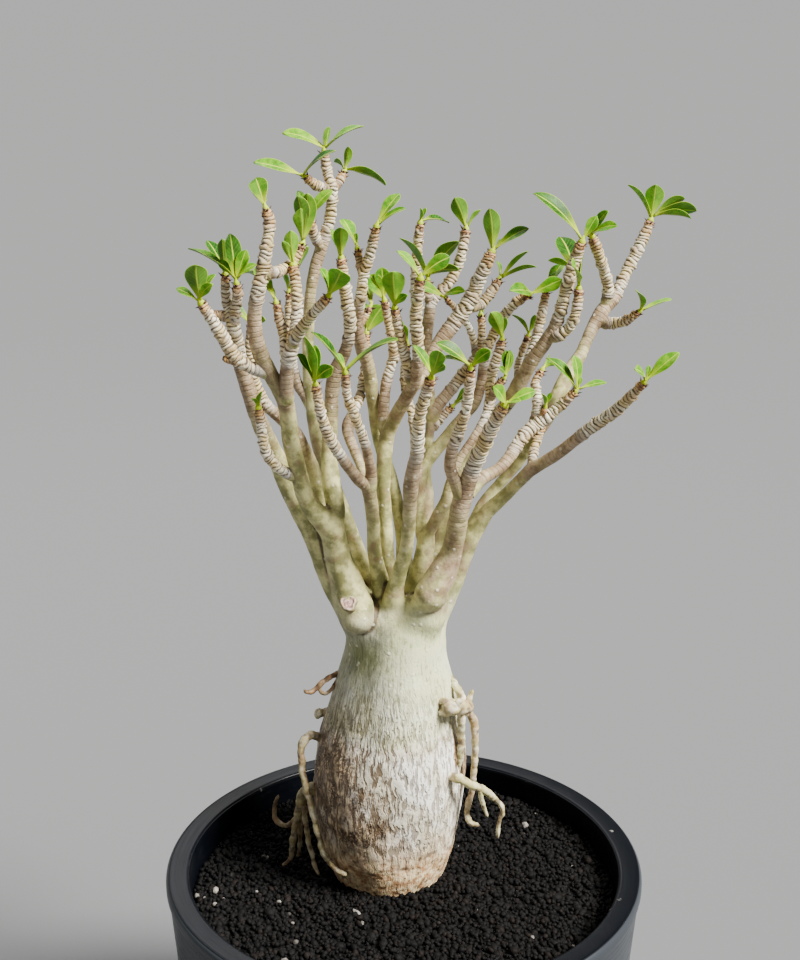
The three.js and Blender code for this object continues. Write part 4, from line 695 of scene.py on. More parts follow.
def blend_in(field, lines, at, radius, blend):
    """Adds spheres along a line to the field, joined to the rest by a smooth minimum. blend gives the
    width of the join at each height of the grid."""
    widest = BLEND_LOW + 2
    reach = radius.max() + widest
    low = np.floor((at.min(0) - reach - GRID_LOW) / CELL).astype(int).clip(0)
    high = np.ceil((at.max(0) + reach - GRID_LOW) / CELL).astype(int)
    block = tuple(slice(low[k], high[k]) for k in range(3))
    x, y, z = (lines[k][block[k]] for k in range(3))
    limb = np.full((len(x), len(y), len(z)), 50.0, np.float32)
    for (px, py, pz), r in zip(at, radius):
        near = r + widest - 0.5
        i = slice(*np.searchsorted(x, [px - near, px + near]))
        j = slice(*np.searchsorted(y, [py - near, py + near]))
        k = slice(*np.searchsorted(z, [pz - near, pz + near]))
        dx, dy, dz = (x[i] - px) ** 2, (y[j] - py) ** 2, (z[k] - pz) ** 2
        far = np.sqrt(dx[:, None, None] + dy[None, :, None] + dz[None, None, :]) - r
        limb[i, j, k] = np.minimum(limb[i, j, k], far)
    blend = blend(z - FOOT[2])
    rest = field[block]
    overlap = np.clip(blend - np.abs(rest - limb), 0, None)
    field[block] = np.minimum(rest, limb) - overlap**2 / (4 * blend)


def limb_join(height):
    """Width of a limb's join: wide at the neck, narrow at the forks."""
    return BLEND_LOW + (BLEND_HIGH - BLEND_LOW) * smooth(BLEND_FROM, BLEND_TO, height)


def add_limb(field, lines, wood):
    """Blends a limb's smooth part into the field."""
    share = smooth_share(wood)
    if share * wood.length < 4:
        return
    share = min(1, share + LIMB_OVERLAP / wood.length)
    steps = np.linspace(0, share, int(share * wood.length / SPHERE_STEP) + 2)
    at, radius = wood.at(steps), wood.radius(steps)
    radius = radius * (1 - LIMB_TAPER * smooth(share - TAPER_LENGTH / wood.length, share, steps))
    blend_in(field, lines, at, radius, limb_join)


def add_knuckle(field, lines, blend, rows):
    """The rounded foot of a big limb that hangs over the neck with a crease under it."""
    ends, radii = sighted(rows)
    steps = np.linspace(0, 1, 28)[:, None]
    at = ends[0] + (ends[1] - ends[0]) * steps
    radius = radii[0] + (radii[1] - radii[0]) * steps[:, 0]
    blend_in(field, lines, at, radius, lambda height: blend + 0 * height)


def sample(field, points):
    """Trilinear reading of the field at points."""
    where = (points - GRID_LOW) / CELL
    base = np.clip(np.floor(where).astype(int), 0, np.array(field.shape) - 2)
    part = where - base
    total = np.zeros(len(points))
    for corner in CORNERS:
        total += near_corner(part, corner) * field[tuple((base + corner).T)]
    return total


def slope_of(field, points):
    """Unit gradient of the field by central differences half a cell wide."""
    slope = np.zeros_like(points)
    for k in range(3):
        step = np.zeros(3)
        step[k] = 0.6 * CELL
        slope[:, k] = sample(field, points + step) - sample(field, points - step)
    return unit(slope)


def surface_nets(field):
    """One point in each cell that the zero level crosses, at the mean of its edge crossings, and one
    quad round each crossed grid edge, turned so that it faces out of the negative side."""
    inside = field < 0
    shape = tuple(n - 1 for n in field.shape)
    count = np.zeros(shape, np.int8)
    for corner in CORNERS:
        count += inside[tuple(slice(c, c + n) for c, n in zip(corner, shape))]
    active = (count > 0) & (count < 8)
    cells = np.argwhere(active)
    index = np.full(shape, -1, np.int32)
    index[active] = np.arange(len(cells))
    total, hits = np.zeros((len(cells), 3)), np.zeros(len(cells))
    quads = []
    for axis in range(3):
        u, v = (axis + 1) % 3, (axis + 2) % 3
        for a, b in itertools.product((0, 1), repeat=2):
            low = cells.copy()
            low[:, u] += a
            low[:, v] += b
            high = low.copy()
            high[:, axis] += 1
            f0, f1 = field[tuple(low.T)], field[tuple(high.T)]
            crossed = (f0 < 0) != (f1 < 0)
            part = np.where(crossed, f0 / np.where(crossed, f0 - f1, 1), 0)
            point = low.astype(float)
            point[:, axis] += part
            total += point * crossed[:, None]
            hits += crossed
        ahead = [slice(None)] * 3
        behind = [slice(None)] * 3
        ahead[axis], behind[axis] = slice(1, None), slice(None, -1)
        edges = np.argwhere(inside[tuple(ahead)] != inside[tuple(behind)])
        keep = (edges[:, u] > 0) & (edges[:, v] > 0)
        keep &= (edges[:, u] < shape[u]) & (edges[:, v] < shape[v])
        edges = edges[keep]
        back_u, back_v = np.zeros(3, int), np.zeros(3, int)
        back_u[u], back_v[v] = 1, 1
        ring = [edges, edges - back_u, edges - back_u - back_v, edges - back_v]
        quad = np.stack([index[tuple(r.T)] for r in ring], 1)
        outward = inside[tuple(edges.T)]
        quads += [quad[outward], quad[~outward][:, ::-1]]
    points = GRID_LOW + CELL * total / hits[:, None]
    return points, np.concatenate(quads)


def bark_relief(points):
    """Height of the bark's relief and the painted shade of its grooves and pores. Low on the trunk long wavy
    grooves run where a noise stretched along the height passes through zero; all wood has low swellings."""
    height = points[:, 2] - FOOT[2]
    radius, middle = trunk_profile(height)
    spread = points[:, :2] - FOOT[:2]
    spread[:, 0] -= middle
    out = unit(spread)
    on_trunk = smooth(8, 3, np.linalg.norm(spread, axis=1) - radius) * smooth(122, 108, height)
    drift = 0.55 * grain(points / 9.0, 5)
    long = np.column_stack([out * 12 + drift[:, None], height / 8])
    wavy = grain(long, 11) + 0.35 * grain(long * 2.1, 12)
    groove = smooth(0.24, 0.04, np.abs(wavy))
    zone = smooth(14, 34, height) * smooth(96, 70, height) * on_trunk
    pores = smooth(0.25, 0.6, grain(points / np.array([1.3, 1.3, 2.0]), 21))
    low = smooth(34, 12, height) * on_trunk
    swell = 0.30 * crumble(points / 7.0, 31) + 0.16 * grain(points / 2.6, 41) * (0.35 + low)
    relief = swell + zone * (0.2 * wavy - 0.2 * groove) - 0.2 * pores * (0.3 * zone + low)
    # painted shade in the grooves and pores
    hollow = np.clip(0.25 * groove * zone + pores * (0.2 * zone + 0.6 * low), 0, 1)
    return relief, hollow, on_trunk


def creased(field, points):
    """How sharply the field bends inward at each point, from its second differences: 0 on round wood,
    1 in the creases at forks and under knuckles."""
    bend = -6 * sample(field, points)
    for axis in range(3):
        step = np.zeros(3)
        step[axis] = CREASE_STEP
        bend = bend + sample(field, points + step) + sample(field, points - step)
    return smooth(0.08, 0.5, -bend / CREASE_STEP**2)


def evened(values, quads, rounds):
    """Values on a mesh averaged with their neighbours along the quads' edges a number of times."""
    edges = np.concatenate([quads[:, [0, 1]], quads[:, [1, 2]], quads[:, [2, 3]], quads[:, [3, 0]]])
    count = np.bincount(edges[:, 0], minlength=len(values)) + 1
    for _ in range(rounds):
        values = (values + np.bincount(edges[:, 0], values[edges[:, 1]], minlength=len(values))) / count
    return values


def left_over(points):
    """How far in mm each point is from its nearest branch's end, measured along the branch. The nearest
    spot of all branches has the least square distance, found for a block of points at a time."""
    steps = np.linspace(0, 1, 60)
    at = np.concatenate([wood.at(steps) for wood in branches.values()])
    ahead = np.concatenate([wood.ahead(steps) for wood in branches.values()])
    left = np.concatenate([(1 - steps) * wood.length for wood in branches.values()])
    square = (at * at).sum(1)
    blocks = np.array_split(points, 100)
    nearest = np.concatenate([np.argmin(square - 2 * block @ at.T, axis=1) for block in blocks])
    return left[nearest] - ((points - at[nearest]) * ahead[nearest]).sum(1)


def trunk_and_limbs(material):
    """Trunk and smooth limbs: the zero level of their blended distance, moved out by the bark's relief.

    tone: red is painted shade in grooves, pores and creases at forks and under knuckles, green how near the
    twig's end, blue how green the skin is, alpha how brown with old cork."""
    lines = grid_lines()
    field = trunk_field(*lines).astype(np.float32)
    for wood in branches.values():
        add_limb(field, lines, wood)
    for blend, rows in KNUCKLES:
        add_knuckle(field, lines, blend, rows)
    points, quads = surface_nets(field)
    for _ in range(2):
        points = points - slope_of(field, points) * sample(field, points)[:, None]
    normal = slope_of(field, points)
    crease = creased(field, points)
    relief, hollow, on_trunk = bark_relief(points)
    points = points + normal * relief[:, None]
    height = points[:, 2] - FOOT[2]
    x = points[:, 0] - FOOT[0]
    ragged = 2.5 * grain(points / 5.0, 53) + grain(points / 1.5, 54)
    greenness = 0.4 * smooth(69, 77, height + ragged) + 0.6 * smooth(76, 112, height)
    greenness = greenness * (0.85 + 0.35 * grain(points / 16.0, 51))
    cork = smooth(2, -24, x - 0.42 * (58 - height) + 9 * grain(points / 8.0, 61)) * smooth(94, 64, height)
    cork = cork * np.maximum(on_trunk, 0.15) * smooth(15, 38, height + 10 * grain(points / 5.0, 57))
    seam = np.exp(-(((height + ragged - 71.5) / 1.1) ** 2)) * on_trunk
    cork = np.maximum(cork, 0.55 * seam * smooth(-0.2, 0.3, grain(points / 6.0, 55)))
    # painted shade: creases at forks and under knuckles, and spots where the relief sinks, are darkened through
    # the tone's red channel
    crease = np.maximum(0.95 * crease, smooth(0.2, 2.2, -relief))
    tone = np.column_stack([np.maximum(hollow, crease), np.zeros(len(points)), greenness, cork])
    uv = np.column_stack([evened(left_over(points), quads, 14) / LEFT_SPAN, np.full(len(points), 0.5)])
    return mesh_piece("trunk_and_limbs", points, quads, material, np.clip(tone, 0, 1), uv)


# ---- ringed twigs -------------------------------------------------------------------------
GOLDEN_ANGLE = 2.39996  # radians
RING_PITCH = 1.75  # rise from one fallen leaf's ring to the next, a golden angle further round
RING_HEIGHT = 0.9
RINGS_FADE, RINGS_END = 28, 45  # from the twig's end, where the rings start to fade and are gone
TWIG_STEP = 0.3
TWIG_COLUMNS = 20
BRACTS = 9


def ring_relief(run, angle, seed):
    """Rings left by fallen leaves. A ring's phase is the run over the pitch, closer near the twig's end,
    plus a slow sway and a coarse noise; its crest is 1 less a power of how far the phase is from the
    ring's middle. Where the leaf sat, a golden angle further for each ring, the crest stands out as a
    pad with a small dot. Gives the crest, the pad, the dot and the ring's own chance."""
    sway = 0.2 * np.sin(angle + 0.9 * run + seed) + 0.22 * np.sin(2 * angle + 1.9 * seed + 0.4 * run)
    spots = np.stack([1.3 * np.cos(angle), 1.3 * np.sin(angle), run / 1.7], -1).reshape(-1, 3) + 7.3 * seed
    phase = run / RING_PITCH + 1.6 * (1 - np.exp(-run / 6)) + sway + 0.36 * grain(spots, 7).reshape(run.shape)
    number = np.floor(phase)
    off = 2 * (phase - number) - 1
    crest = (1 - np.abs(off) ** 2.6) ** 0.7
    turn = (angle - number * GOLDEN_ANGLE + math.pi) % (2 * math.pi) - math.pi
    pad = np.exp(-((turn / 0.95) ** 2))
    dot = np.exp(-((turn / 0.24) ** 2) - (off / 0.4) ** 2)
    keys = np.stack([1.7 * number, 3.1 * seed + 0 * number, 0 * number], -1).reshape(-1, 3)
    return crest, pad, dot, grain(keys, 9).reshape(run.shape)


def host_radius(wood):
    """Radius of the branch whose surface is nearest to where this one starts."""
    steps = np.linspace(0, 1, 160)
    found = []
    for other in branches.values():
        if other is not wood:
            radius = other.radius(steps)
            over = np.linalg.norm(other.at(steps) - wood.at(np.zeros(1)), axis=1) - radius
            found.append((over.min(), radius[over.argmin()]))
    return min(found)[1]


def add_twig(bundle, wood, seed, has_tuft):
    """A twig as rings of points along its line: its radius raised by the leaves' rings near the end,
    pinched at the start so that it comes out of the limb, and closed by a rounded end."""
    start = max(0.0, smooth_share(wood) - 3 / wood.length)
    count = int((1 - start) * wood.length / TWIG_STEP) + 2
    share = np.linspace(start, 1, count)
    at, ahead, radius = wood.at(share), wood.ahead(share), wood.radius(share)
    left = (1 - share) * wood.length
    born = 0 * left if start else smooth(8, 1.5, share * wood.length)
    if start > 0:
        radius = radius * (0.7 + 0.3 * smooth(-1, 8, (share - start) * wood.length))
    else:
        out = share * wood.length
        slim = smooth(1.4, 1.1, host_radius(wood) / radius[0])
        flared = 1 + 0.22 * np.exp(-out / 4.5)
        pinched = (0.55 + 0.45 * smooth(0, 3.5, out)) * (1 + 0.16 * np.exp(-(((out - 5) / 3) ** 2)))
        radius = radius * (flared * (1 - slim) + pinched * slim)
    radius = radius * (1 - 0.25 * smooth(1.2, 0, left))
    across, up = frames_of(ahead)
    angle = ring_angles(TWIG_COLUMNS)
    run = left[:, None] + 0 * angle
    ringed = (smooth(RINGS_END, RINGS_FADE, left) * (1 - 0.6 * born))[:, None]
    crest, pad, dot, chance = ring_relief(run, angle[None, :] + 0 * run, seed)
    where = (at[:, None] + across[:, None] * np.cos(angle)[:, None] * 2).reshape(-1, 3)
    swell = 0.1 * grain(where / 3.0, 71).reshape(run.shape)
    tall = RING_HEIGHT * np.minimum(1, radius / 2.4)[:, None]
    relief = crest * (0.58 + 0.6 * pad) - 0.5 + 0.3 * chance - 0.3 * dot
    ring_radius = radius[:, None] + swell + ringed * tall * relief
    points = tube_points(at, across, up, ring_radius)
    points[-1] = points[-1] + ahead[-1] * 0.2
    # painted shade in the grooves between the rings, with the leaf scars' own dark dots
    hollow = ringed * np.maximum(smooth(0.9, 0.42, crest), 0.7 * dot)
    young = np.exp(-left / 7)[:, None] * (1.1 - 0.45 * crest * pad)
    green = np.maximum(smooth(RINGS_FADE - 2, RINGS_END + 2, left), 0.9 * born)[:, None]
    green = green * (0.85 + 0.35 * grain(where / 16.0, 51).reshape(run.shape))
    tone = np.stack([hollow, young, green, ringed * (0.26 + 0.5 * chance)], -1).reshape(-1, 4)
    tone = np.concatenate([tone, tone[:1], tone[-1:]])
    quads, fans = tube_faces(count, TWIG_COLUMNS)
    toward_limb = run + 45 * born[:, None]
    spans = np.concatenate([toward_limb.ravel(), toward_limb[0, :1], toward_limb[-1, :1]]) / LEFT_SPAN
    uv = np.column_stack([spans, np.full(len(points), 0.5)])
    bundle.add(points, quads, fans, np.clip(tone, 0, 1), uv)
    if has_tuft:
        add_bracts(bundle, at[-1], ahead[-1], across[-1], up[-1], radius[-1], seed)


def add_bracts(bundle, at, ahead, across, up, radius, seed):
    """Dark dry scales under the leaves: small flat spikes round the twig's end that point up and out."""
    rng = np.random.default_rng(100 + seed)
    for k in range(BRACTS):
        turn = k * GOLDEN_ANGLE + rng.uniform(-0.3, 0.3)
        out = across * math.cos(turn) + up * math.sin(turn)
        side = np.cross(ahead, out)
        foot = at - ahead * rng.uniform(-0.4, 2.6) + out * radius * 0.9
        tip = foot + out * rng.uniform(0.9, 2.2) + ahead * rng.uniform(0.2, 1.9)
        wide = rng.uniform(0.55, 0.95)
        front, back = foot + out * 0.6 - ahead * 0.3, foot - out * 0.5
        ring = np.array([foot + side * wide, front, foot - side * wide, back])
        points = np.concatenate([ring, [tip], [foot - ahead * 0.5]])
        fans = [[0, 1, 4], [1, 2, 4], [2, 3, 4], [3, 0, 4], [1, 0, 5], [2, 1, 5], [3, 2, 5], [0, 3, 5]]
        normal = np.cross(points[1] - points[0], points[4] - points[0])
        if normal @ (points[0] - points.mean(0)) < 0:
            fans = [f[::-1] for f in fans]
        tone = np.tile([1.0, 0.9, 0.0, 1.0], (6, 1))
        bundle.add(points, np.zeros((0, 4), int), fans, tone, np.full((6, 2), 0.01))


def twigs(material):
    """The ringed ends of all branches, in three pieces."""
    part_size = len(branches) // 3 + 1
    for part in range(3):
        bundle = Bundle()
        for i, (name, wood) in enumerate(branches.items()):
            if i // part_size == part:
                add_twig(bundle, wood, i, name in TUFTS)
        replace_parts(bundle.piece(f"twigs_{part + 1}", material, "bark"), "plant")


# ---- aerial roots -------------------------------------------------------------------------
ROOT_STEP = 0.5
# Broken bits at the thick root's near end and a fresh cut stub, as [x, height, depth, radius].
ROOT_LUMPS = [
    [[22.6, 79.6, -16, 1.2], [24.6, 80.4, -18.5, 1.7], [27, 79.2, -19, 1.6]],
    [[21.2, 75.6, -15.5, 1.0], [23.6, 75.2, -18.6, 1.6], [28, 75.8, -19, 1.7]],
    [[30, 79, -19, 1.2], [31.6, 80.6, -19.4, 1.2], [32.4, 79.6, -18.6, 1.1]],
    [[-29, 74.6, 6, 1.9], [-31.8, 73.9, 6.6, 2.1], [-32.6, 73.7, 6.7, 1.6]],
]
BROKEN_STARTS = [8]  # by number in ROOTS
THIN_ROOTS, THINNER = [3, 4, 5, 6, 10, 12], 0.84
# How old each root and then each lump is, from 0 for fresh cream to 1 for old brown.
ROOT_AGE = [
    0.95, 0.95, 0.3, 0.3, 0.3, 0.35, 0.35, 0.7, 0.35, 0.3, 0.4, 0.1, 0.12, 0.15, 0.1,
    0.5, 0.2, 0.35, -0.2,
]


def aerial_roots(material):
    """Roots as knobbly tubes: the radius of each line with noise at two sizes, round small ends."""
    bundle = Bundle()
    columns = 14
    lumps = [Wood(rows) for rows in ROOT_LUMPS]
    for i, wood in enumerate(roots + lumps):
        count = int(wood.length / ROOT_STEP) + 2
        share = np.linspace(0, 1, count)
        at, ahead = wood.at(share), wood.ahead(share)
        radius = wood.radius(share) * (THINNER if i in THIN_ROOTS else 1)
        left = (1 - share) * wood.length
        radius = radius * np.sqrt(np.clip(left / 1.2 + 0.12, 0, 1))
        if i in BROKEN_STARTS:
            radius = radius * (0.45 + 0.55 * smooth(0, 4.5, share * wood.length))
        across, up = frames_of(ahead)
        angle = ring_angles(columns)
        rings = at[:, None] + radius[:, None, None] * (
            across[:, None] * np.cos(angle)[:, None] + up[:, None] * np.sin(angle)[:, None])
        flat = rings.reshape(-1, 3)
        knobs = 0.2 * grain(flat / 2.4, 81 + i) + 0.13 * grain(flat / 0.95, 91)
        knobs = knobs + 0.22 * np.clip(grain(at / 2.2, 87 + i), 0, 1).repeat(columns)
        ring_radius = radius[:, None] * (1 + knobs.reshape(count, columns))
        wander = 0.35 * grain(at / 4.0, 85 + i)
        points = tube_points(at + across * wander[:, None], across, up, ring_radius)
        # painted shade where the knobs sink
        hollow = smooth(0.04, -0.14, knobs)
        old = np.clip(ROOT_AGE[i] + 0.3 * grain(flat / 5.0, 95), 0, 1)
        lush = 0.6 * smooth(0.25, 0.0, old) * (i < len(roots))
        tone = np.column_stack([hollow, old, lush, 0 * old])
        tone = np.concatenate([tone, tone[:1], tone[-1:]])
        quads, fans = tube_faces(count, columns)
        bundle.add(points, quads, fans, np.clip(tone, 0, 1))
    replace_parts(bundle.piece("aerial_roots", material, "bark"), "plant")


# ---- the pruned branch's scar -------------------------------------------------------------
def cut_scar(name, material, spot, radius):
    """A healed cut as a turned disc: a raised callus ring round a sunk, lumpy middle. spot is [x, height,
    depth] of its middle as the eye sees it, facing the eye."""
    middle = sighted([[*spot, 1]])[0][0]
    facing = unit(EYE + FOOT - middle + np.array([-120.0, 0, 60]))
    across = unit(np.cross(facing, np.array([0, 0, 1.0])))
    up = np.cross(across, facing)
    profile = np.array([[1.25, -1.2], [1.12, -0.1], [1.0, 0.32], [0.86, 0.42], [0.74, 0.2], [0.6, 0.05],
        [0.42, 0.16], [0.2, 0.22], [0.06, 0.2]])
    columns = 30
    angle = ring_angles(columns)
    reach = profile[:, :1] * radius * (1 + 0.08 * np.sin(3 * angle + 1) + 0.06 * np.sin(5 * angle))
    lumps = 0.16 * np.sin(4 * angle + profile[:, :1] * 9) + 0.1 * np.sin(7 * angle - profile[:, :1] * 14)
    lift = profile[:, 1:] + lumps * (profile[:, :1] < 1.05)
    points = middle + (reach * np.cos(angle))[..., None] * across + (reach * np.sin(angle))[..., None] * up
    points = points + lift[..., None] * facing
    ends = np.stack([middle - facing * 1.2, middle + facing * 0.2])
    points = np.concatenate([points.reshape(-1, 3), ends])
    quads, fans = tube_faces(len(profile), columns)
    if facing_in(points, quads, middle):
        quads, fans = quads[:, ::-1], fans[:, ::-1]
    tone = np.zeros((len(points), 4))
    rows = np.repeat(np.arange(len(profile)), columns)
    # painted shade in the cut's creases: the moat inside the callus ring and the slope outside it
    tone[: len(rows), 0] = np.isin(rows, [1, 4, 5]) * 0.8
    tone[: len(rows), 1] = smooth(1.1, 0.7, profile[rows, 0])
    tone[-1] = tone[-3]
    bundle = Bundle()
    bundle.add(points, quads, fans, tone)
    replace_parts(bundle.piece(name, material, "bark"), "plant")


def facing_in(points, quads, middle):
    """Whether the first quad of a shape round a middle point faces inward."""
    a, b, c = points[quads[0, 0]], points[quads[0, 1]], points[quads[0, 2]]
    return np.cross(b - a, c - b) @ (a - middle) < 0


# ---- leaves -------------------------------------------------------------------------------
LEAF_ROWS = 20
LEAF_COLUMNS = 11
LEAF_THICK = 0.42
BUD_COLUMNS = 12


def leaf_outline(u, swing, blunt):
    """Half width along the blade, 0 to 1: a narrow stalk, widest past the middle, a round tip. swing moves
    the widest place toward the tip; a small blunt makes the tip rounder."""
    return 0.14 * (1 - u) ** 2 + np.sin(math.pi * np.clip(u, 0, 1) ** swing) ** blunt


def blade_side(leaf):
    """The way across a blade at its middle: turned until the eye sees the wanted share of its width."""
    at = bezier(leaf, [0.5])[0]
    ahead = unit(leaf["tip"] - leaf["root"])
    opened = unit(np.cross(at - FOOT - EYE, ahead))
    on_edge = np.cross(ahead, opened)
    share = leaf["share"]
    turns = [share * opened + sign * math.sqrt(1 - share**2) * on_edge for sign in (1, -1)]
    lifts = [np.cross(side, ahead) @ leaf["axis"] for side in turns]
    best = 0 if abs(lifts[0]) > abs(lifts[1]) else 1
    return turns[best] * (-1 if lifts[best] < 0 else 1)


def add_leaf(bundle, leaf, rng):
    """A blade over (u, v): u runs from root to tip along the leaf's line, v from margin to margin. Height
    over that sheet is the fold (a share of the distance from the midrib), a soft wave of the margin and a
    sunk midrib above, raised below; two such sheets, a little apart, meet at the margin."""
    u = np.linspace(0, 1, LEAF_ROWS) ** 0.92
    u[-1] = 0.997
    v = np.sin(np.linspace(-0.5, 0.5, LEAF_COLUMNS) * math.pi)
    line = bezier(leaf, u)
    ahead = unit(np.gradient(line, axis=0))
    middle = blade_side(leaf)
    side = unit(middle - ahead * (ahead @ middle)[:, None])
    up = np.cross(side, ahead)
    half = leaf["width"] / 2 * leaf_outline(u, rng.uniform(1.3, 1.65), rng.uniform(0.66, 0.9))
    across = half[:, None] * v
    rise = rng.uniform(0.02, 0.05) * leaf["width"]
    wave = rise * np.sin(u[:, None] * rng.uniform(5, 9) + rng.uniform(0, 6))
    fold = BLADE_FOLD * (1.25 - 0.45 * u[:, None]) * (np.sqrt(across**2 + 0.05) - 0.22)
    lift = fold + wave * v**2 * np.sign(v)
    rib = np.exp(-((across / 0.42) ** 2)) * (1 - 0.6 * u[:, None])
    thick = LEAF_THICK * (1 - 0.75 * v**2) * (1 + 1.2 * np.exp(-u[:, None] * 9))
    top = lift + thick / 2 - 0.10 * rib
    under = lift - thick / 2 - 0.28 * rib
    sheets = []
    for height in (top, under):
        sheets.append(line[:, None] + across[..., None] * side[:, None] + height[..., None] * up[:, None])
    points = np.concatenate([s.reshape(-1, 3) for s in sheets])
    i = np.arange(LEAF_ROWS - 1)[:, None] * LEAF_COLUMNS
    j = np.arange(LEAF_COLUMNS - 1)[None, :]
    face = np.stack([i + j, i + j + 1, i + LEAF_COLUMNS + j + 1, i + LEAF_COLUMNS + j], -1).reshape(-1, 4)
    size = LEAF_ROWS * LEAF_COLUMNS
    rim = [*range(0, size, LEAF_COLUMNS)][::-1] + [*range(1, LEAF_COLUMNS)]
    rim += [*range(2 * LEAF_COLUMNS - 1, size, LEAF_COLUMNS)] + [*range(size - 2, size - LEAF_COLUMNS, -1)]
    rim = np.array(rim)
    following = np.roll(rim, -1)
    edge = np.stack([rim, rim + size, following + size, following], -1)
    quads = np.concatenate([face, face[:, ::-1] + size, edge])
    young = rng.uniform(0, 0.95) + 0.4 * smooth(19, 9, leaf["length"])
    bloom = rng.uniform(0, 0.45) * (rng.random() < 0.4)
    grown = np.repeat(u, LEAF_COLUMNS)
    spot = np.tile(np.abs(v), LEAF_ROWS)
    tone = np.column_stack([young + 0 * grown, grown, spot, bloom + 0 * grown])
    tone = np.concatenate([tone, tone + [0, 0, 0, 1.0]])
    uv = np.column_stack([np.tile(v / 2 + 0.5, LEAF_ROWS), np.repeat(u, LEAF_COLUMNS)])
    bundle.add(points, quads, np.zeros((0, 3), int), np.clip(tone, 0, 1), np.concatenate([uv, uv]))


def add_bud(bundle, end):
    """The green middle of a tuft: a turned bud from the twig's end, round below and pointed above."""
    at, ahead, radius = end
    profile = np.array([[0.55, -0.5], [0.8, 0.1], [0.78, 0.5], [0.64, 1.0], [0.48, 1.5], [0.32, 2.1],
        [0.16, 2.7], [0.05, 3.0]])
    across, up = frames_of(ahead[None])
    middle = at + ahead * profile[:, 1:]
    count = len(profile)
    rings = np.repeat(profile[:, :1] * radius, BUD_COLUMNS, axis=1)
    points = tube_points(middle, np.repeat(across, count, 0), np.repeat(up, count, 0), rings)
    quads, fans = tube_faces(count, BUD_COLUMNS)
    grown = np.concatenate([np.repeat(profile[:, 1] / 40, BUD_COLUMNS), [0, 0.1]])
    tone = np.column_stack([0.9 + 0 * grown, grown.clip(0, 1), 0.4 + 0 * grown, 0 * grown])
    uv = np.column_stack([0.3 + 0 * grown, grown.clip(0, 1)])
    bundle.add(points, quads, fans, tone, uv)


def leaf_tufts(material):
    """One piece for each tuft, in the part's order."""
    rng = np.random.default_rng(12)
    for i, (end, leaves) in enumerate(all_tufts()):
        bundle = Bundle()
        add_bud(bundle, end)
        for leaf in leaves:
            add_leaf(bundle, leaf, rng)
        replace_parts(bundle.piece(f"leaf_tuft_{i + 1:02d}", material, "leaf"), f"leaves_{i + 1:02d}")


# ---- pot ----------------------------------------------------------------------------------
WALL_SLOPE = (WALL_TOP_RADIUS - POT_BASE_RADIUS) / (POT_HEIGHT - COLLAR_HEIGHT)


def inner_radius(height):
    """The pot's inner wall: as steep as the outer one below the grit."""
    return INNER_TOP_RADIUS - WALL_SLOPE * (SOIL_LEVEL - height)


def rounded_profile(corners, steps=5):
    """A profile with each corner [radius, height, fillet] replaced by a quadratic arc of that size."""
    corners = np.array(corners, float)
    points = [corners[0, :2]]
    for before, here, after in zip(corners[:-2], corners[1:-1], corners[2:]):
        spot, size = here[:2], here[2]
        start = spot + unit(before[:2] - spot) * size
        finish = spot + unit(after[:2] - spot) * size
        s = np.linspace(0, 1, steps)[:, None]
        points.extend((1 - s) ** 2 * start + 2 * s * (1 - s) * spot + s**2 * finish)
    return np.array([*points, corners[-1, :2]])


def turned_points(profile, columns):
    """A profile turned round Z: radius times cosine and sine of each column's angle, at its height."""
    angle = ring_angles(columns)
    x = profile[:, :1] * np.cos(angle)
    y = profile[:, :1] * np.sin(angle)
    z = np.repeat(profile[:, 1:], columns, axis=1)
    return np.stack([x, y, z], -1).reshape(-1, 3)


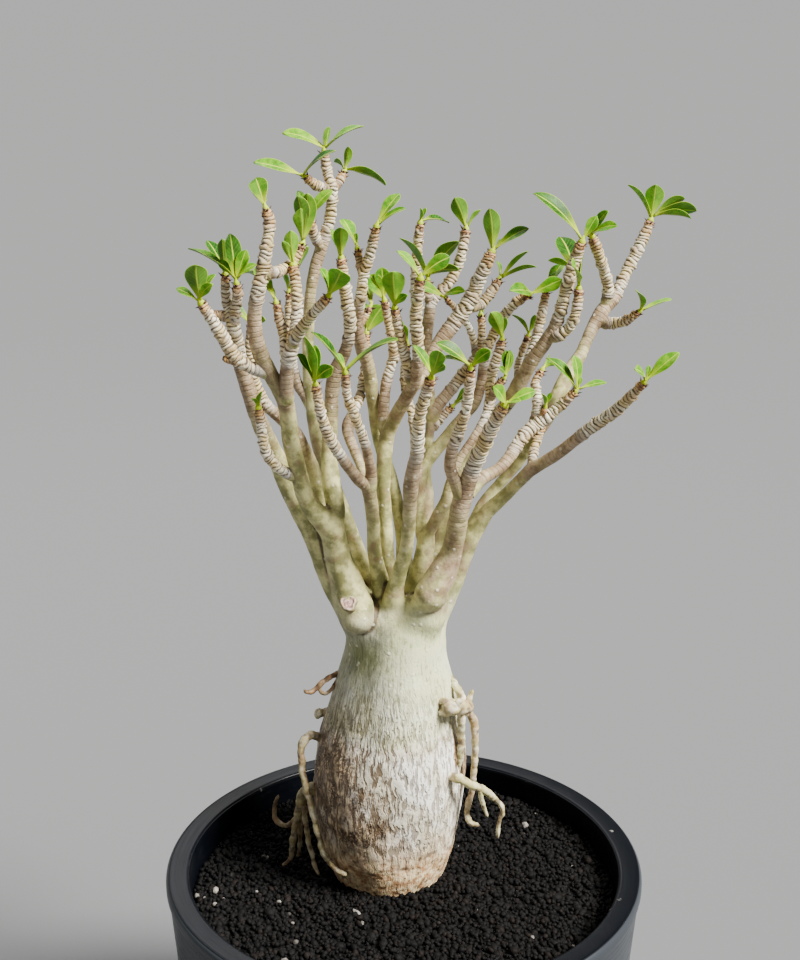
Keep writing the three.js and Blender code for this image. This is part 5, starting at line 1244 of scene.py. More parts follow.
def pot(material):
    """The pot turned from one profile with eased corners, then six round holes cut through its floor."""
    collar_foot = POT_HEIGHT - COLLAR_HEIGHT
    profile = rounded_profile([
        [0.4, 0, 0], [70, 0, 1], [POT_BASE_RADIUS - 0.5, 0, 2.2], [WALL_TOP_RADIUS - 0.9, collar_foot - 8, 1],
        [WALL_TOP_RADIUS - 0.2, collar_foot - 0.8, 0.4], [RIM_RADIUS - 0.05, collar_foot + 0.2, 0.5],
        [RIM_RADIUS - 0.05, POT_HEIGHT - 0.9, 1.6], [LIP_OUTER_RADIUS, POT_HEIGHT - 0.05, 0.7],
        [LIP_INNER_RADIUS, POT_HEIGHT - 0.25, 1.0], [INNER_TOP_RADIUS + 0.05, POT_HEIGHT - 1.7, 0.7],
        [INNER_TOP_RADIUS - 0.2, SOIL_LEVEL, 1], [inner_radius(FLOOR_THICKNESS + 8), FLOOR_THICKNESS + 8, 1],
        [inner_radius(FLOOR_THICKNESS) - 1, FLOOR_THICKNESS, 2], [0.4, FLOOR_THICKNESS, 0]])
    columns = 192
    points = np.concatenate([turned_points(profile, columns), [[0, 0, 0], [0, 0, FLOOR_THICKNESS]]])
    quads, fans = tube_faces(len(profile), columns)
    body = mesh_piece("pot_body", points, [quads, fans], material)
    drills = Bundle()
    low, high, sides = -9.0, 15.0, 24
    for k in range(DRAIN_HOLES):
        turn = k / DRAIN_HOLES * 2 * math.pi
        shape = turned_points(np.array([[DRAIN_RADIUS, low], [DRAIN_RADIUS, high]]), sides)
        shape = np.concatenate([shape, [[0, 0, low], [0, 0, high]]])
        shape = shape + [DRAIN_CIRCLE * math.cos(turn), DRAIN_CIRCLE * math.sin(turn), 0]
        drills.add(shape, *tube_faces(2, sides), np.zeros((len(shape), 4)))
    drill = drills.piece("drill", material, "pot_plastic")
    cut = body.modifiers.new("drain_holes", "BOOLEAN")
    cut.operation, cut.object, cut.solver = "DIFFERENCE", drill, "EXACT"
    bpy.context.view_layer.update()
    seen = body.evaluated_get(bpy.context.evaluated_depsgraph_get())
    drilled = bpy.data.meshes.new_from_object(seen)
    body.modifiers.clear()
    body.data = drilled
    bpy.data.objects.remove(drill)
    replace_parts(body, "pot")


# ---- grit ---------------------------------------------------------------------------------
GRIT_REACH = 93.6  # from the middle to the outermost grains
GRAIN_CORNERS = 12
GRAINS = 10500
GRAINS_IN_PIECE = 9000  # the most grains in one piece; so that a piece stays below the face limit


def grit_top(x, y):
    """Height of the grit bed: the solid's low waves, a mound toward the trunk and small lumps."""
    coarse = np.sin(0.11 * x + 1.3) * np.cos(0.09 * y - 0.7)
    fine = np.sin(0.53 * x - 0.4 * y) * np.sin(0.47 * x + 0.61 * y + 2)
    lumps = crumble(np.column_stack([x.ravel() / 9, y.ravel() / 9, 0 * x.ravel()]), 15).reshape(x.shape)
    return SOIL_LEVEL - 2.6 + 0.5 * coarse + 0.3 * fine + 1.4 * lumps


def grit_bed(material):
    """The body of the grit under the loose grains: a turned wall and floor, closed by its uneven top."""
    columns = 128
    floor = FLOOR_THICKNESS + GAP
    edge = SOIL_LEVEL - 6
    wall = np.array([[0.4, floor], [inner_radius(floor) - 1.4, floor], [inner_radius(edge) - GAP, edge]])
    radii = np.linspace(GRIT_REACH, 0.8, 48)
    top = np.column_stack([radii, np.full(len(radii), SOIL_LEVEL - 3.0)])
    points = turned_points(np.concatenate([wall, top]), columns)
    first = len(wall) * columns
    points[first:, 2] = grit_top(points[first:, 0], points[first:, 1])
    points = np.concatenate([points, [[0, 0, floor], [0, 0, points[-columns:, 2].mean()]]])
    quads, fans = tube_faces(len(wall) + len(top), columns)
    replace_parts(mesh_piece("grit_bed", points, [quads, fans], material), "soil")


def grain_shapes(rng, kinds=24):
    """Angular grains: an icosahedron's corners pushed in and out at random and pressed along one axis."""
    golden = (1 + 5**0.5) / 2
    corners = np.array([[0, a, b * golden] for a in (-1, 1) for b in (-1, 1)], float)
    corners = np.concatenate([np.roll(corners, k, axis=1) for k in range(3)])
    corners = unit(corners)
    apart = np.linalg.norm(corners[:, None] - corners[None], axis=-1)
    near = (apart > 0.1) & (apart < 1.2)
    faces = np.array([*itertools.combinations(range(GRAIN_CORNERS), 3)])
    a, b, c = faces.T
    faces = faces[near[a, b] & near[b, c] & near[a, c]]
    a, b, c = (corners[faces[:, k]] for k in range(3))
    inward = (np.cross(b - a, c - a) * a).sum(1) < 0
    faces[inward] = faces[inward][:, ::-1]
    shapes = []
    for _ in range(kinds):
        push = rng.uniform(0.76, 1.12, (GRAIN_CORNERS, 1))
        shapes.append(corners * push * rng.uniform([0.8, 0.65, 0.55], [1.25, 1.0, 0.95]))
    return np.array(shapes), faces


def turns(rng, count):
    """Random rotation matrices from unit quaternions."""
    w, x, y, z = unit(rng.normal(size=(count, 4))).T
    rows = [1 - 2 * (y * y + z * z), 2 * (x * y - z * w), 2 * (x * z + y * w)]
    rows += [2 * (x * y + z * w), 1 - 2 * (x * x + z * z), 2 * (y * z - x * w)]
    rows += [2 * (x * z - y * w), 2 * (y * z + x * w), 1 - 2 * (x * x + y * y)]
    return np.stack(rows, 1).reshape(-1, 3, 3)


def loose_grains(material):
    """Grains on the bed in sunflower order with jitter, larger ones few, clear of the trunk and the wall,
    in pieces below the face limit."""
    rng = np.random.default_rng(3)
    order = np.arange(GRAINS) + 0.5
    radius = GRIT_REACH * np.sqrt(order / GRAINS)
    angle = order * GOLDEN_ANGLE
    x = radius * np.cos(angle) + rng.normal(0, 0.7, GRAINS)
    y = radius * np.sin(angle) + rng.normal(0, 0.7, GRAINS)
    size = 0.95 + 0.85 * rng.random(GRAINS) ** 1.4 + 1.3 * (rng.random(GRAINS) < 0.15) * rng.random(GRAINS)
    z = grit_top(x, y) + rng.uniform(-0.5, 1.3, GRAINS)
    foot = trunk_profile(0.0)[0]
    from_trunk = np.hypot(x - FOOT[0], y - FOOT[1])
    keep = (np.hypot(x, y) + size < INNER_TOP_RADIUS - 0.3) & (from_trunk > foot - 1.5)
    x, y, z, size = x[keep], y[keep], z[keep], size[keep]
    z = np.minimum(z, SOIL_LEVEL + 1.3 - size)
    shapes, faces = grain_shapes(rng)
    kind = rng.integers(0, len(shapes), len(x))
    body = np.einsum("nij,nkj->nki", turns(rng, len(x)), shapes[kind]) * size[:, None, None]
    body += np.stack([x, y, z], 1)[:, None]
    shade = rng.random(len(x))
    pale = (rng.random(len(x)) < 0.007) * rng.random(len(x))
    for part, start in enumerate(range(0, len(x), GRAINS_IN_PIECE)):
        chosen = slice(start, start + GRAINS_IN_PIECE)
        points = body[chosen].reshape(-1, 3)
        number = np.arange(len(points) // GRAIN_CORNERS) * GRAIN_CORNERS
        rows = (faces[None] + number[:, None, None]).reshape(-1, 3)
        tone = np.column_stack([shade[chosen], pale[chosen], rng.random(len(number)), np.zeros(len(number))])
        name = f"loose_grains_{part + 1}"
        piece = mesh_piece(name, points, rows, material, np.repeat(tone, GRAIN_CORNERS, axis=0))
        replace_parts(piece, "soil")


# ---- materials ----------------------------------------------------------------------------
def srgb(red, green, blue):
    """A colour picked on a 0 to 255 scale, made linear."""
    shares = (red / 255, green / 255, blue / 255)
    return tuple(c / 12.92 if c < 0.043 else ((c + 0.055) / 1.055) ** 2.4 for c in shares)


class Coat:
    """Adds shader nodes to one tree. A term is a number, a vector, a colour on a 0 to 255 scale or a
    socket, and the methods give the socket to go on from."""

    def __init__(self, tree):
        self.tree = tree

    def put(self, value, socket):
        """Links a value that is a socket to another one, or sets it there."""
        if isinstance(value, bpy.types.NodeSocket):
            self.tree.links.new(value, socket)
        else:
            socket.default_value = (*srgb(*value), 1) if socket.type == "RGBA" else value

    def fill(self, node, **values):
        """Sets a node's properties or, by name with _ for a space, its inputs."""
        for key, value in values.items():
            if hasattr(node, key):
                setattr(node, key, value)
            else:
                self.put(value, node.inputs[key.replace("_", " ")])
        return node

    def add(self, kind, **values):
        """A new node of a kind, filled."""
        return self.fill(self.tree.nodes.new("ShaderNode" + kind), **values)

    def mix(self, mask, under, over):
        """Two colours mixed by a mask: under where it is 0, over where it is 1."""
        node = self.add("Mix", data_type="RGBA")
        for number, value in ((0, mask), (6, under), (7, over)):
            self.put(value, node.inputs[number])
        return node.outputs[2]

    def noise(self, vector, scale, detail=4.0, rough=0.55, stretch=None):
        """Noise on a vector, stretched by a mapping if wanted."""
        if stretch:
            vector = self.add("Mapping", Vector=vector, Scale=stretch).outputs[0]
        return self.add("TexNoise", Vector=vector, Scale=scale, Detail=detail, Roughness=rough).outputs["Fac"]

    def ramp(self, value, low, high, bottom=0.0, top=1.0):
        """Value mapped from low..high to bottom..top, clamped, by a smooth step."""
        node = self.add("MapRange", interpolation_type="SMOOTHSTEP")
        for socket, term in zip(node.inputs, (value, low, high, bottom, top)):
            self.put(term, socket)
        return node.outputs[0]

    def band(self, value, start, full, fading, end):
        """1 from full to fading, and 0 up to start and from end on."""
        return self.times(self.ramp(value, start, full), self.ramp(value, end, fading))

    def maths(self, operation, *terms):
        """An operation on two or more terms, taken from the left, or a function of a single term."""
        total = terms[0]
        for term in terms[1:] or [0.0]:
            node = self.add("Math", operation=operation)
            self.put(total, node.inputs[0])
            self.put(term, node.inputs[1])
            total = node.outputs[0]
        return total

    def times(self, *terms):
        """The product of all terms."""
        return self.maths("MULTIPLY", *terms)

    def plus(self, *terms):
        """The sum of all terms."""
        return self.maths("ADD", *terms)

    def parts(self, vector):
        """The three parts of a vector."""
        return self.add("SeparateXYZ", Vector=vector).outputs[:3]

    def joined(self, x, y, z=0.0):
        """A vector from its three parts."""
        return self.add("CombineXYZ", X=x, Y=y, Z=z).outputs[0]

    def here(self):
        """The piece's own Object coordinates."""
        return self.add("TexCoord").outputs["Object"]

    def uv(self):
        """The piece's own UV map, in parts."""
        return self.parts(self.add("UVMap", uv_map="UVMap").outputs[0])

    def tones(self):
        """The piece's own tone attribute: three channels and alpha."""
        held = self.add("Attribute", attribute_name="tone")
        split = self.add("SeparateColor", Color=held.outputs["Color"])
        return [*split.outputs[:3], held.outputs["Alpha"]]

    def effect(self, group, place, **values):
        """What an effect's node group gives at a place, with its values set for this material."""
        return self.add("Group", node_tree=group, Place=place, **values).outputs[0]

    def mottled(self, place, scale, dark, light):
        """A colour in patches of two tones."""
        return self.effect(MOTTLE, place, Scale=scale, Dark=dark, Light=light)


def new_material(name):
    """A new material, the coat of its tree and its Principled shader."""
    material = bpy.data.materials.new(name)
    material.use_nodes = True
    shader = next(node for node in material.node_tree.nodes if node.type == "BSDF_PRINCIPLED")
    return material, Coat(material.node_tree), shader


def new_effect(name, result, kind, **inputs):
    """A new node group that reads a place and named inputs, each a start value or None for a colour:
    the group, its coat, its inputs and the socket of its one result."""
    group = bpy.data.node_groups.new(name, "ShaderNodeTree")
    group.interface.new_socket("Place", in_out="INPUT", socket_type="NodeSocketVector")
    for label, start in inputs.items():
        sort = "NodeSocketColor" if start is None else "NodeSocketFloat"
        socket = group.interface.new_socket(label, in_out="INPUT", socket_type=sort)
        if start is not None:
            socket.default_value = start
    group.interface.new_socket(result, in_out="OUTPUT", socket_type="NodeSocket" + kind)
    given, made = group.nodes.new("NodeGroupInput"), group.nodes.new("NodeGroupOutput")
    return group, Coat(group), given.outputs, made.inputs[0]


def mottle_effect():
    """Two tones in patches of one size: a noise turned to a soft-edged mask between dark and light."""
    group, coat, given, made = new_effect("Mottle", "Colour", "Color", Scale=300.0, Dark=None, Light=None)
    mask = coat.ramp(coat.noise(given["Place"], given["Scale"], 4.0, 0.6), 0.38, 0.62)
    coat.put(coat.mix(mask, given["Dark"], given["Light"]), made)
    return group


def grain_effect():
    """A surface's normal from a height and a fine grain laid over it."""
    group, coat, given, made = new_effect("Grained surface", "Normal", "Vector", Scale=1100.0, Grain=0.5,
        Height=0.0, Strength=0.5, Depth=0.0003)
    fine = coat.noise(given["Place"], given["Scale"], 4.0, 0.6)
    height = coat.plus(given["Height"], coat.times(fine, given["Grain"]))
    bump = coat.add("Bump", Strength=given["Strength"], Distance=given["Depth"], Height=height)
    coat.put(bump.outputs[0], made)
    return group


def speck_effect():
    """Round specks scattered in cells: the cell's own chance picks which cells hold one."""
    group, coat, given, made = new_effect("Specks", "Mask", "Float", Scale=330.0, Share=0.25)
    cells = coat.add("TexVoronoi", Vector=given["Place"], Scale=given["Scale"])
    chance = coat.add("SeparateColor", Color=cells.outputs["Color"]).outputs[0]
    chosen = coat.maths("LESS_THAN", chance, given["Share"])
    coat.put(coat.times(coat.ramp(cells.outputs["Distance"], 0.3, 0.12), chosen), made)
    return group


def dust_effect():
    """A thin film of dust: broad clouds broken up by fine grain."""
    group, coat, given, made = new_effect("Dust film", "Mask", "Float", Amount=1.0)
    clouds = coat.ramp(coat.noise(given["Place"], 38, 5, 0.6), 0.45, 0.75)
    broken = coat.ramp(coat.noise(given["Place"], 900, 3), 0.4, 0.7)
    coat.put(coat.times(clouds, broken, given["Amount"]), made)
    return group


def fold_effect():
    """Fine wavy folds round an upright axis, 1 in their grooves and 0 on their backs: where a noise on the
    direction from the axis and the height, stretched along the height, is low."""
    group, coat, given, made = new_effect("Wavy folds", "Mask", "Float", Around=23.0, Along=150.0)
    x, y, height = coat.parts(given["Place"])
    way = coat.add("VectorMath", operation="NORMALIZE", Vector=coat.joined(x, y))
    out_x, out_y, _ = coat.parts(way.outputs[0])
    drift = coat.times(coat.noise(given["Place"], 150, 3), 3.0)
    spot = coat.joined(coat.plus(coat.times(out_x, given["Around"]), drift),
        coat.times(out_y, given["Around"]), coat.times(height, given["Along"]))
    coat.put(coat.ramp(coat.noise(spot, 1.0, 2.0), 0.54, 0.4), made)
    return group


MOTTLE, GRAINED, SPECKS = mottle_effect(), grain_effect(), speck_effect()
DUST, FOLDS = dust_effect(), fold_effect()


class BarkMasks:
    """Where on the plant a spot is, in metres from the trunk's foot, and the masks that place its skins."""

    def __init__(self, coat):
        self.where = coat.here()
        self.hollow, self.young, self.green, self.cork = coat.tones()
        self.left = coat.uv()[0]
        to_foot = tuple(-value * MM for value in FOOT)
        self.foot = coat.add("Mapping", Vector=self.where, Location=to_foot).outputs[0]
        self.x, _, self.height = coat.parts(self.foot)
        self.patchy = coat.noise(self.where, 110, 3, 0.6)
        self.fine = coat.noise(self.where, 1000, 4, 0.65)
        self.streak = coat.noise(self.where, 1.0, 3, 0.6, (950, 950, 190))
        self.on_trunk = coat.ramp(coat.plus(self.height, coat.times(self.patchy, 0.02)), 0.15, 0.124)
        uneven = coat.plus(self.height, coat.times(self.patchy, 0.024))
        self.low = coat.times(coat.ramp(uneven, 0.048, 0.022), 0.9)
        self.peel = self.peeled(coat)
        self.streaked = coat.times(coat.ramp(self.green, 0.1, 0.5), self.on_trunk)
        self.folds = coat.times(coat.effect(FOLDS, self.foot), coat.ramp(self.height, 0.008, 0.03, 0.3, 1.0),
            coat.ramp(self.height, 0.112, 0.066))
        self.old_rings = self.faint_rings(coat)
        self.wart = coat.times(coat.effect(SPECKS, self.where, Scale=300.0, Share=0.2), self.green)

    def peeled(self, coat):
        """Irregular flakes torn off the trunk's right side, where a noise stretched upward is high."""
        ragged = coat.times(coat.noise(self.where, 1.0, 4, 0.6, (420, 420, 60)), 0.03)
        right = coat.ramp(coat.plus(self.x, ragged), 0.034, 0.047)
        torn = coat.times(right, coat.band(self.height, 0.024, 0.056, 0.074, 0.104))
        flaky = coat.noise(self.where, 1.0, 4, 0.6, (240, 240, 52))
        return coat.ramp(coat.plus(flaky, coat.times(torn, 0.5)), 0.84, 0.94)

    def faint_rings(self, coat):
        """Last traces of leaf rings on the limbs: crests of a sine along the branch."""
        along = coat.plus(coat.times(self.left, 290.0), coat.times(self.patchy, 9.0))
        lines = coat.ramp(coat.maths("SINE", along), 0.55, 1.0)
        return coat.times(lines, coat.band(self.left, 0.26, 0.36, 0.5, 0.85), 0.35)


def trunk_skin(coat, at):
    """Cream, tan near the grit, brown with sooty cork on one side and bare flakes on the other."""
    skin = coat.mottled(at.where, 60, (220, 212, 188), (252, 249, 236))
    skin = coat.mix(at.low, skin, coat.mottled(at.where, 300, (172, 120, 66), (246, 218, 166)))
    brown = coat.mottled(at.where, 260, (102, 70, 40), (210, 180, 136))
    skin = coat.mix(coat.times(at.cork, 0.88), skin, brown)
    soot = coat.times(at.cork, coat.ramp(at.patchy, 0.4, 0.54), coat.ramp(at.fine, 0.44, 0.52, 0.1, 1.0))
    skin = coat.mix(soot, skin, coat.mottled(at.where, 520, (28, 19, 12), (92, 64, 40)))
    flakes = coat.mix(coat.ramp(at.streak, 0.42, 0.58), (96, 70, 46), (188, 162, 126))
    return coat.mix(at.peel, skin, flakes)


def neck_skin(coat, at):
    """Olive, deep green left of the middle, and a painted highlight that turns it pale on the lit right."""
    neck = coat.mottled(at.where, 70, (84, 90, 34), (146, 148, 82))
    deep = coat.times(coat.band(at.x, -0.03, -0.01, -0.004, 0.012),
        coat.band(at.height, 0.07, 0.098, 0.112, 0.128), 0.6)
    neck = coat.mix(deep, neck, (92, 102, 44))
    # painted highlight on the lit right side of the neck
    return coat.mix(coat.ramp(at.x, -0.004, 0.014, 0, 0.8), neck, (226, 234, 172))


def limb_skin(coat, at):
    """Olive with tan clouds, mauve-brown near the twigs and on the knuckles of the two front limbs."""
    limb = coat.mottled(at.where, 140, (136, 134, 78), (208, 202, 138))
    limb = coat.mix(coat.ramp(at.patchy, 0.54, 0.68, 0, 0.55), limb, (158, 122, 92))
    near_end = coat.ramp(coat.plus(at.left, coat.times(at.patchy, 0.5)), 1.1, 0.7, 0, 0.85)
    right_knuckle = coat.times(coat.band(at.x, 0.012, 0.019, 0.028, 0.042),
        coat.band(at.height, 0.114, 0.124, 0.15, 0.19), coat.ramp(at.patchy, 0.36, 0.56), 0.75)
    left_knuckle = coat.times(coat.band(at.x, -0.022, -0.016, -0.008, -0.002),
        coat.band(at.height, 0.112, 0.118, 0.122, 0.13), 0.6)
    mauve = coat.mottled(at.where, 190, (128, 98, 76), (182, 156, 128))
    limb = coat.mix(coat.maths("MAXIMUM", near_end, right_knuckle, left_knuckle), limb, mauve)
    return coat.mix(coat.ramp(coat.noise(at.where, 420, 3, 0.6), 0.56, 0.7, 0, 0.35), limb, (100, 92, 54))


def with_streaks(coat, at, skin):
    """Pale and dark streaks up the neck, the pale ones dimmed on the shaded left as painted shade; wavy folds
    and dark pits round the trunk, darkened as painted shade, more on the shaded left.
    """
    # the pale streaks are the bark's own; their fading toward the left is painted shade
    pale = coat.times(coat.ramp(at.streak, 0.5, 0.66), at.streaked, coat.ramp(at.x, -0.016, 0.012, 0.3, 0.65))
    skin = coat.mix(pale, skin, (214, 210, 172))
    skin = coat.mix(coat.times(coat.ramp(at.streak, 0.46, 0.34), at.streaked, 0.5), skin, (92, 90, 44))
    # painted shade in the grooves of the wavy folds, stronger on the shaded left
    groove = coat.mix(at.green, (96, 76, 52), (104, 106, 58))
    skin = coat.mix(coat.times(at.folds, coat.ramp(at.x, 0.02, -0.008, 0.6, 0.9)), skin, groove)
    # painted shade: dark pits, many on the shaded left and few on the lit right
    pits = coat.times(coat.effect(SPECKS, at.foot, Scale=520.0, Share=0.7),
        coat.band(at.height, 0.03, 0.05, 0.08, 0.1), coat.ramp(at.x, 0.03, 0.012, 0.15, 0.8))
    return coat.mix(pits, skin, (72, 56, 40))


def with_rings(coat, at, skin):
    """Cream ringed twigs with brown cork, orange toward their ends, dark scales there; painted shade in the
    grooves between rings and in the creases and furrows of all the bark.
    """
    ringed = coat.ramp(at.left, 0.46, 0.28)
    cream = coat.mottled(at.where, 130, (220, 198, 138), (254, 246, 216))
    skin = coat.mix(coat.times(ringed, coat.ramp(at.green, 0.4, 0.0)), skin, cream)
    skin = coat.mix(coat.times(at.cork, ringed, 0.85), skin, (146, 110, 68))
    orange = coat.mottled(at.where, 420, (120, 66, 26), (214, 166, 96))
    skin = coat.mix(coat.ramp(at.young, 0.15, 0.9, 0, 0.92), skin, orange)
    groove = coat.mottled(at.where, 500, (50, 34, 18), (96, 72, 42))
    # painted shade: grooves, pores and creases darkened by the tone's red channel; the leaf scars' dots keep
    # their own dark
    skin = coat.mix(coat.ramp(at.hollow, 0.05, 0.78, 0, 0.92), skin, groove)
    skin = coat.mix(at.old_rings, skin, groove)
    husk = coat.times(coat.ramp(at.cork, 0.9, 0.98), coat.ramp(at.young, 0.8, 0.88))
    return coat.mix(husk, skin, (66, 34, 20))


def with_specks(coat, at, skin):
    """Pale warts on the green skin, brown or cream dots near the grit."""
    skin = coat.mix(coat.times(at.wart, 0.8), skin, (226, 218, 190))
    dots = coat.times(coat.effect(SPECKS, at.where, Scale=420.0, Share=0.22), at.low)
    broad = coat.noise(at.where, 55, 3)
    return coat.mix(dots, skin, coat.mix(coat.ramp(broad, 0.45, 0.5), (98, 68, 42), (236, 220, 188)))


def bark_material():
    """Living bark. From the grit up: tan, cream with wavy folds and sooty cork on one side, olive neck with a
    painted highlight on its right, olive limbs with pale warts that turn mauve-brown toward the off-white
    ringed twigs, orange ends; painted shade in folds, pits, grooves and creases."""
    material, coat, shader = new_material("living_bark")
    at = BarkMasks(coat)
    up_limbs = coat.times(coat.ramp(at.green, 0.1, 0.6), coat.ramp(at.height, 0.116, 0.134))
    green = coat.mix(at.on_trunk, limb_skin(coat, at), neck_skin(coat, at))
    skin = coat.mix(coat.maths("MAXIMUM", at.green, up_limbs), trunk_skin(coat, at), green)
    for layer in (with_streaks, with_rings, with_specks):
        skin = layer(coat, at, skin)
    relief = coat.plus(coat.times(at.streak, at.streaked, 0.5), coat.times(at.wart, 0.8),
        coat.times(at.folds, -1.5), coat.times(at.old_rings, -1.2), coat.times(at.peel, at.streak, -2.0))
    normal = coat.effect(GRAINED, at.where, Grain=0.6, Height=relief, Strength=0.75, Depth=0.00045)
    coat.fill(shader, Base_Color=skin, Roughness=coat.ramp(at.fine, 0.3, 0.7, 0.48, 0.72), Normal=normal)
    return material


def scar_material():
    """A healed cut: pinkish cream callus, with painted shade in its creases."""
    material, coat, shader = new_material("healed_cut")
    where = coat.here()
    hollow, inner, _, _ = coat.tones()
    callus = coat.mottled(where, 700, (150, 140, 96), (190, 180, 138))
    heart = coat.mottled(where, 700, (196, 150, 134), (236, 212, 198))
    # painted shade in the creases
    skin = coat.mix(coat.times(hollow, 0.8), coat.mix(inner, callus, heart), (112, 74, 52))
    normal = coat.effect(GRAINED, where, Scale=700.0, Grain=1.0)
    coat.fill(shader, Base_Color=skin, Roughness=0.6, Normal=normal)
    return material


def root_material():
    """Aerial roots: fresh cream to old brown by the tone's second channel, stained and tinted in
    patches, darker left of the trunk as painted shade, green where they grow, with painted shade in their
    recesses."""
    material, coat, shader = new_material("root_skin")
    where = coat.here()
    hollow, old, lush, _ = coat.tones()
    fresh = coat.mottled(where, 260, (204, 190, 128), (250, 244, 210))
    skin = coat.mix(old, fresh, coat.mottled(where, 420, (98, 66, 40), (172, 132, 92)))
    # painted shade: roots left of the trunk are darkened
    skin = coat.mix(coat.ramp(coat.parts(where)[0], -0.036, -0.046, 0, 0.5), skin, (118, 102, 70))
    skin = coat.mix(coat.ramp(coat.noise(where, 190, 3, 0.6), 0.5, 0.66, 0, 0.6), skin, (150, 116, 82))
    skin = coat.mix(coat.times(lush, 0.75), skin, (150, 152, 84))
    # painted shade in the recesses between knobs
    skin = coat.mix(coat.times(hollow, 0.75), skin, (74, 50, 30))
    skin = coat.mix(coat.effect(DUST, where, Amount=0.35), skin, (58, 42, 30))
    normal = coat.effect(GRAINED, where, Scale=800.0, Grain=1.0)
    coat.fill(shader, Base_Color=skin, Roughness=0.68, Normal=normal)
    return material


def leaf_material():
    """Leaves: yellow-green at the base and when young, deep green when grown, pale midrib and margin,
    side veins that leave the midrib at a slant."""
    material, coat, shader = new_material("leaf_skin")
    where = coat.here()
    young, grown, edge, under = coat.tones()
    u, v, _ = coat.uv()
    across = coat.maths("ABSOLUTE", coat.maths("SUBTRACT", u, 0.5))
    deep = coat.mottled(where, 300, (12, 58, 6), (34, 92, 10))
    fresh = coat.mottled(where, 300, (70, 134, 3), (118, 172, 6))
    blade = coat.mix(coat.ramp(young, 0.1, 0.9), deep, fresh)
    blade = coat.mix(coat.ramp(grown, 0.45, 0.0, 0, 0.95), blade, (184, 202, 10))
    slant = coat.maths("SUBTRACT", v, coat.times(across, 0.45))
    vein = coat.ramp(coat.maths("SINE", coat.times(slant, 62.0)), 0.84, 1.0)
    blade = coat.mix(coat.times(vein, 0.22), blade, (150, 184, 70))
    blade = coat.mix(coat.ramp(across, 0.05, 0.014, 0, 0.75), blade, (200, 214, 70))
    blade = coat.mix(coat.ramp(edge, 0.92, 0.99, 0, 0.6), blade, (196, 212, 60))
    blade = coat.mix(coat.times(under, 0.35), blade, (120, 160, 54))
    normal = coat.effect(GRAINED, where, Scale=900.0, Grain=0.4, Height=coat.times(vein, -0.8), Strength=0.35)
    coat.fill(shader, Base_Color=blade, Roughness=0.42, Specular_IOR_Level=0.18, Normal=normal)
    coat.fill(shader, Subsurface_Weight=0.15, Subsurface_Scale=0.0012, Subsurface_Radius=(0.4, 1.0, 0.1))
    return material


def pot_material():
    """Dark moulded plastic with fine turned scratches and a thin film of dust, both patchy; a paler outer
    wall and a few chips on the rim."""
    material, coat, shader = new_material("pot_plastic")
    where = coat.here()
    x, y, height = coat.parts(where)
    reach = coat.add("VectorMath", operation="LENGTH", Vector=coat.joined(x, y)).outputs[1]
    turn = coat.maths("ARCTAN2", y, x)
    round_way = coat.joined(coat.times(reach, 2600.0), coat.times(turn, 2.2), coat.times(height, 900.0))
    scratch = coat.noise(round_way, 1.0, 3, 0.6)
    dust = coat.effect(DUST, where, Amount=1.0)
    body = coat.mix(coat.ramp(scratch, 0.6, 0.8, 0, 0.4), (5, 7, 12), (25, 31, 41))
    body = coat.mix(coat.times(dust, 0.05), body, (122, 122, 118))
    off_slope = coat.maths("SUBTRACT", reach, coat.times(height, WALL_SLOPE))
    body = coat.mix(coat.ramp(off_slope, 0.0906, 0.0916, 0, 0.75), body, (56, 60, 65))
    chips = coat.times(coat.effect(SPECKS, where, Scale=230.0, Share=0.05),
        coat.ramp(coat.noise(where, 700, 3), 0.45, 0.6), coat.ramp(height, 0.15, 0.157), 0.45)
    body = coat.mix(chips, body, (170, 168, 160))
    shine = coat.plus(coat.ramp(scratch, 0.35, 0.8, 0.28, 0.46), coat.times(dust, 0.25))
    normal = coat.effect(GRAINED, where, Scale=700.0, Grain=0.3, Height=scratch, Strength=0.12, Depth=0.0002)
    coat.fill(shader, Base_Color=body, Roughness=shine, Specular_IOR_Level=0.18, Normal=normal)
    return material


def grit_material():
    """Near-black grit with brown and a few pale grains, grey specks as painted glints, dusty and rough."""
    material, coat, shader = new_material("grit_grains")
    where = coat.here()
    shade, pale, warm, _ = coat.tones()
    body = coat.mix(shade, (1, 1, 1), (12, 11, 11))
    body = coat.mix(coat.ramp(warm, 0.75, 1.0, 0, 0.4), body, (34, 25, 20))
    body = coat.mix(coat.ramp(pale, 0.1, 1.0), body, coat.mottled(where, 600, (104, 98, 90), (160, 154, 146)))
    # painted highlight: small grey specks stand in for glints on the grains
    body = coat.mix(coat.times(coat.effect(SPECKS, where, Scale=1500.0, Share=0.2), 0.14), body, (70, 66, 64))
    body = coat.mix(coat.effect(DUST, where, Amount=0.07), body, (72, 64, 58))
    normal = coat.effect(GRAINED, where, Scale=1300.0, Grain=1.0, Strength=0.7, Depth=0.0004)
    coat.fill(shader, Base_Color=body, Roughness=0.72, Specular_IOR_Level=0.13, Normal=normal)
    return material


# ---- stage --------------------------------------------------------------------------------
FLOOR_REACH = 400  # metres from the middle to the floor's edges
AIR_LIGHT = 0.24  # strength of the air's light on the plant
AIR_SEEN = 0.668  # and as the eye sees it beyond the floor
SUN_LIGHT = 13.8
LOOK_DOWN = 17  # degrees


def area_light(name, place, aim, size, power):
    """A soft square light at a place in metres, turned to an aim."""
    data = bpy.data.lights.new(name, "AREA")
    data.shape, data.size, data.energy = "SQUARE", size, power
    light = bpy.data.objects.new(name, data)
    light.location = place
    way = Vector(aim) - Vector(place)
    light.rotation_euler = way.to_track_quat("-Z", "Y").to_euler()
    bpy.context.scene.collection.objects.link(light)


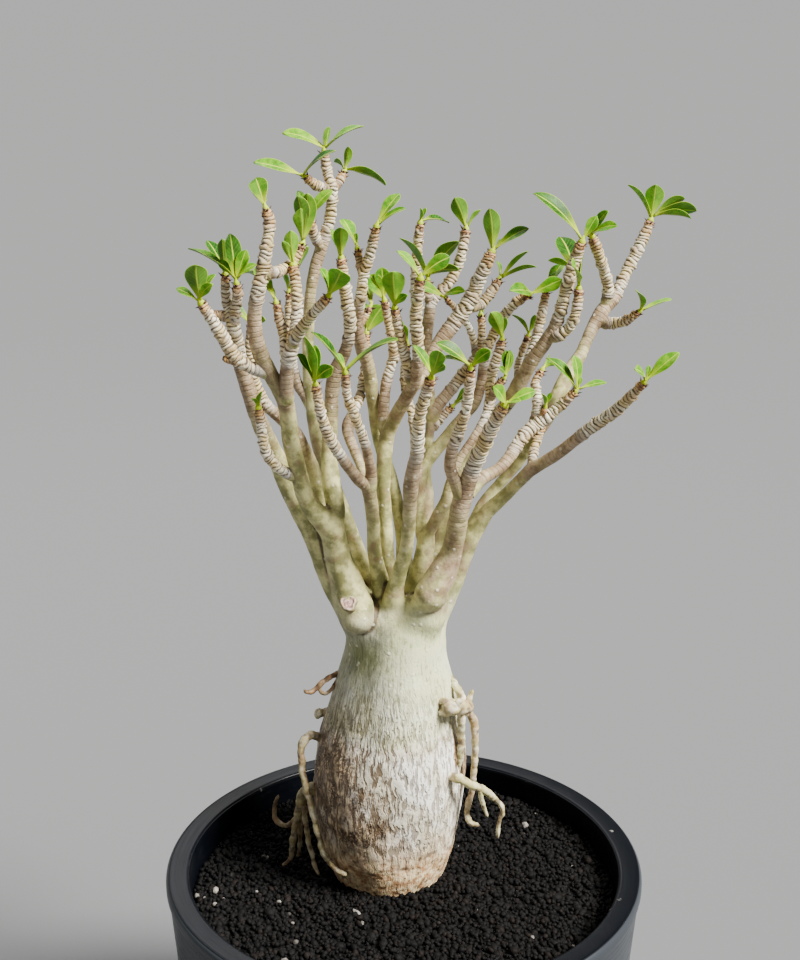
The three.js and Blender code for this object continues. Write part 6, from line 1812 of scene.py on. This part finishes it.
def stage():
    """A pale floor that runs on far behind, soft studio light and the eye's camera. A wide sun from the
    upper right lights the whole floor evenly, and the air beyond it is as pale as the floor."""
    material, coat, shader = new_material("pale_floor")
    coat.fill(shader, Base_Color=(110, 111, 112), Roughness=0.95, Specular_IOR_Level=0.1)
    mesh = bpy.data.meshes.new("floor")
    far = FLOOR_REACH
    mesh.from_pydata([(-far, -far, 0), (far, -far, 0), (far, far, 0), (-far, far, 0)], [], [(0, 1, 2, 3)])
    mesh.materials.append(material)
    floor = bpy.data.objects.new("floor", mesh)
    bpy.context.scene.collection.objects.link(floor)
    world = bpy.data.worlds.new("studio")
    world.use_nodes = True
    air = world.node_tree.nodes["Background"]
    air.inputs[0].default_value = (0.80, 0.802, 0.795, 1)
    coat = Coat(world.node_tree)
    seen = coat.add("LightPath").outputs["Is Camera Ray"]
    coat.put(coat.ramp(seen, 0.0, 1.0, AIR_LIGHT, AIR_SEEN), air.inputs[1])
    bpy.context.scene.world = world
    sun = bpy.data.lights.new("sun", "SUN")
    sun.energy, sun.angle, sun.color = SUN_LIGHT, math.radians(20), (1.0, 0.985, 0.95)
    held = bpy.data.objects.new("sun", sun)
    held.rotation_euler = Vector((-1.0, 0.5, -1.2)).to_track_quat("-Z", "Y").to_euler()
    bpy.context.scene.collection.objects.link(held)
    area_light("fill", (-1.1, -0.8, 0.7), (0, 0, 0.25), 1.2, 1.6)
    area_light("back", (-0.3, 1.1, 1.2), (0, 0, 0.3), 0.9, 6)
    data = bpy.data.cameras.new("eye")
    data.lens, data.sensor_width = 56.25, 36
    camera = bpy.data.objects.new("eye", data)
    camera.location = [(EYE[k] + FOOT[k]) * MM for k in range(3)]
    camera.rotation_euler = (math.radians(90 - LOOK_DOWN), 0, 0)
    bpy.context.scene.collection.objects.link(camera)
    bpy.context.scene.camera = camera


# ---- assembly -----------------------------------------------------------------------------
bark = bark_material()
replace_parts(trunk_and_limbs(bark), "plant")
twigs(bark)
aerial_roots(root_material())
cut_scar("cut_scar", scar_material(), [-17, 127, -21.2], 3.1)
leaf_tufts(leaf_material())
pot(pot_material())
grit = grit_material()
grit_bed(grit)
loose_grains(grit)
stage()
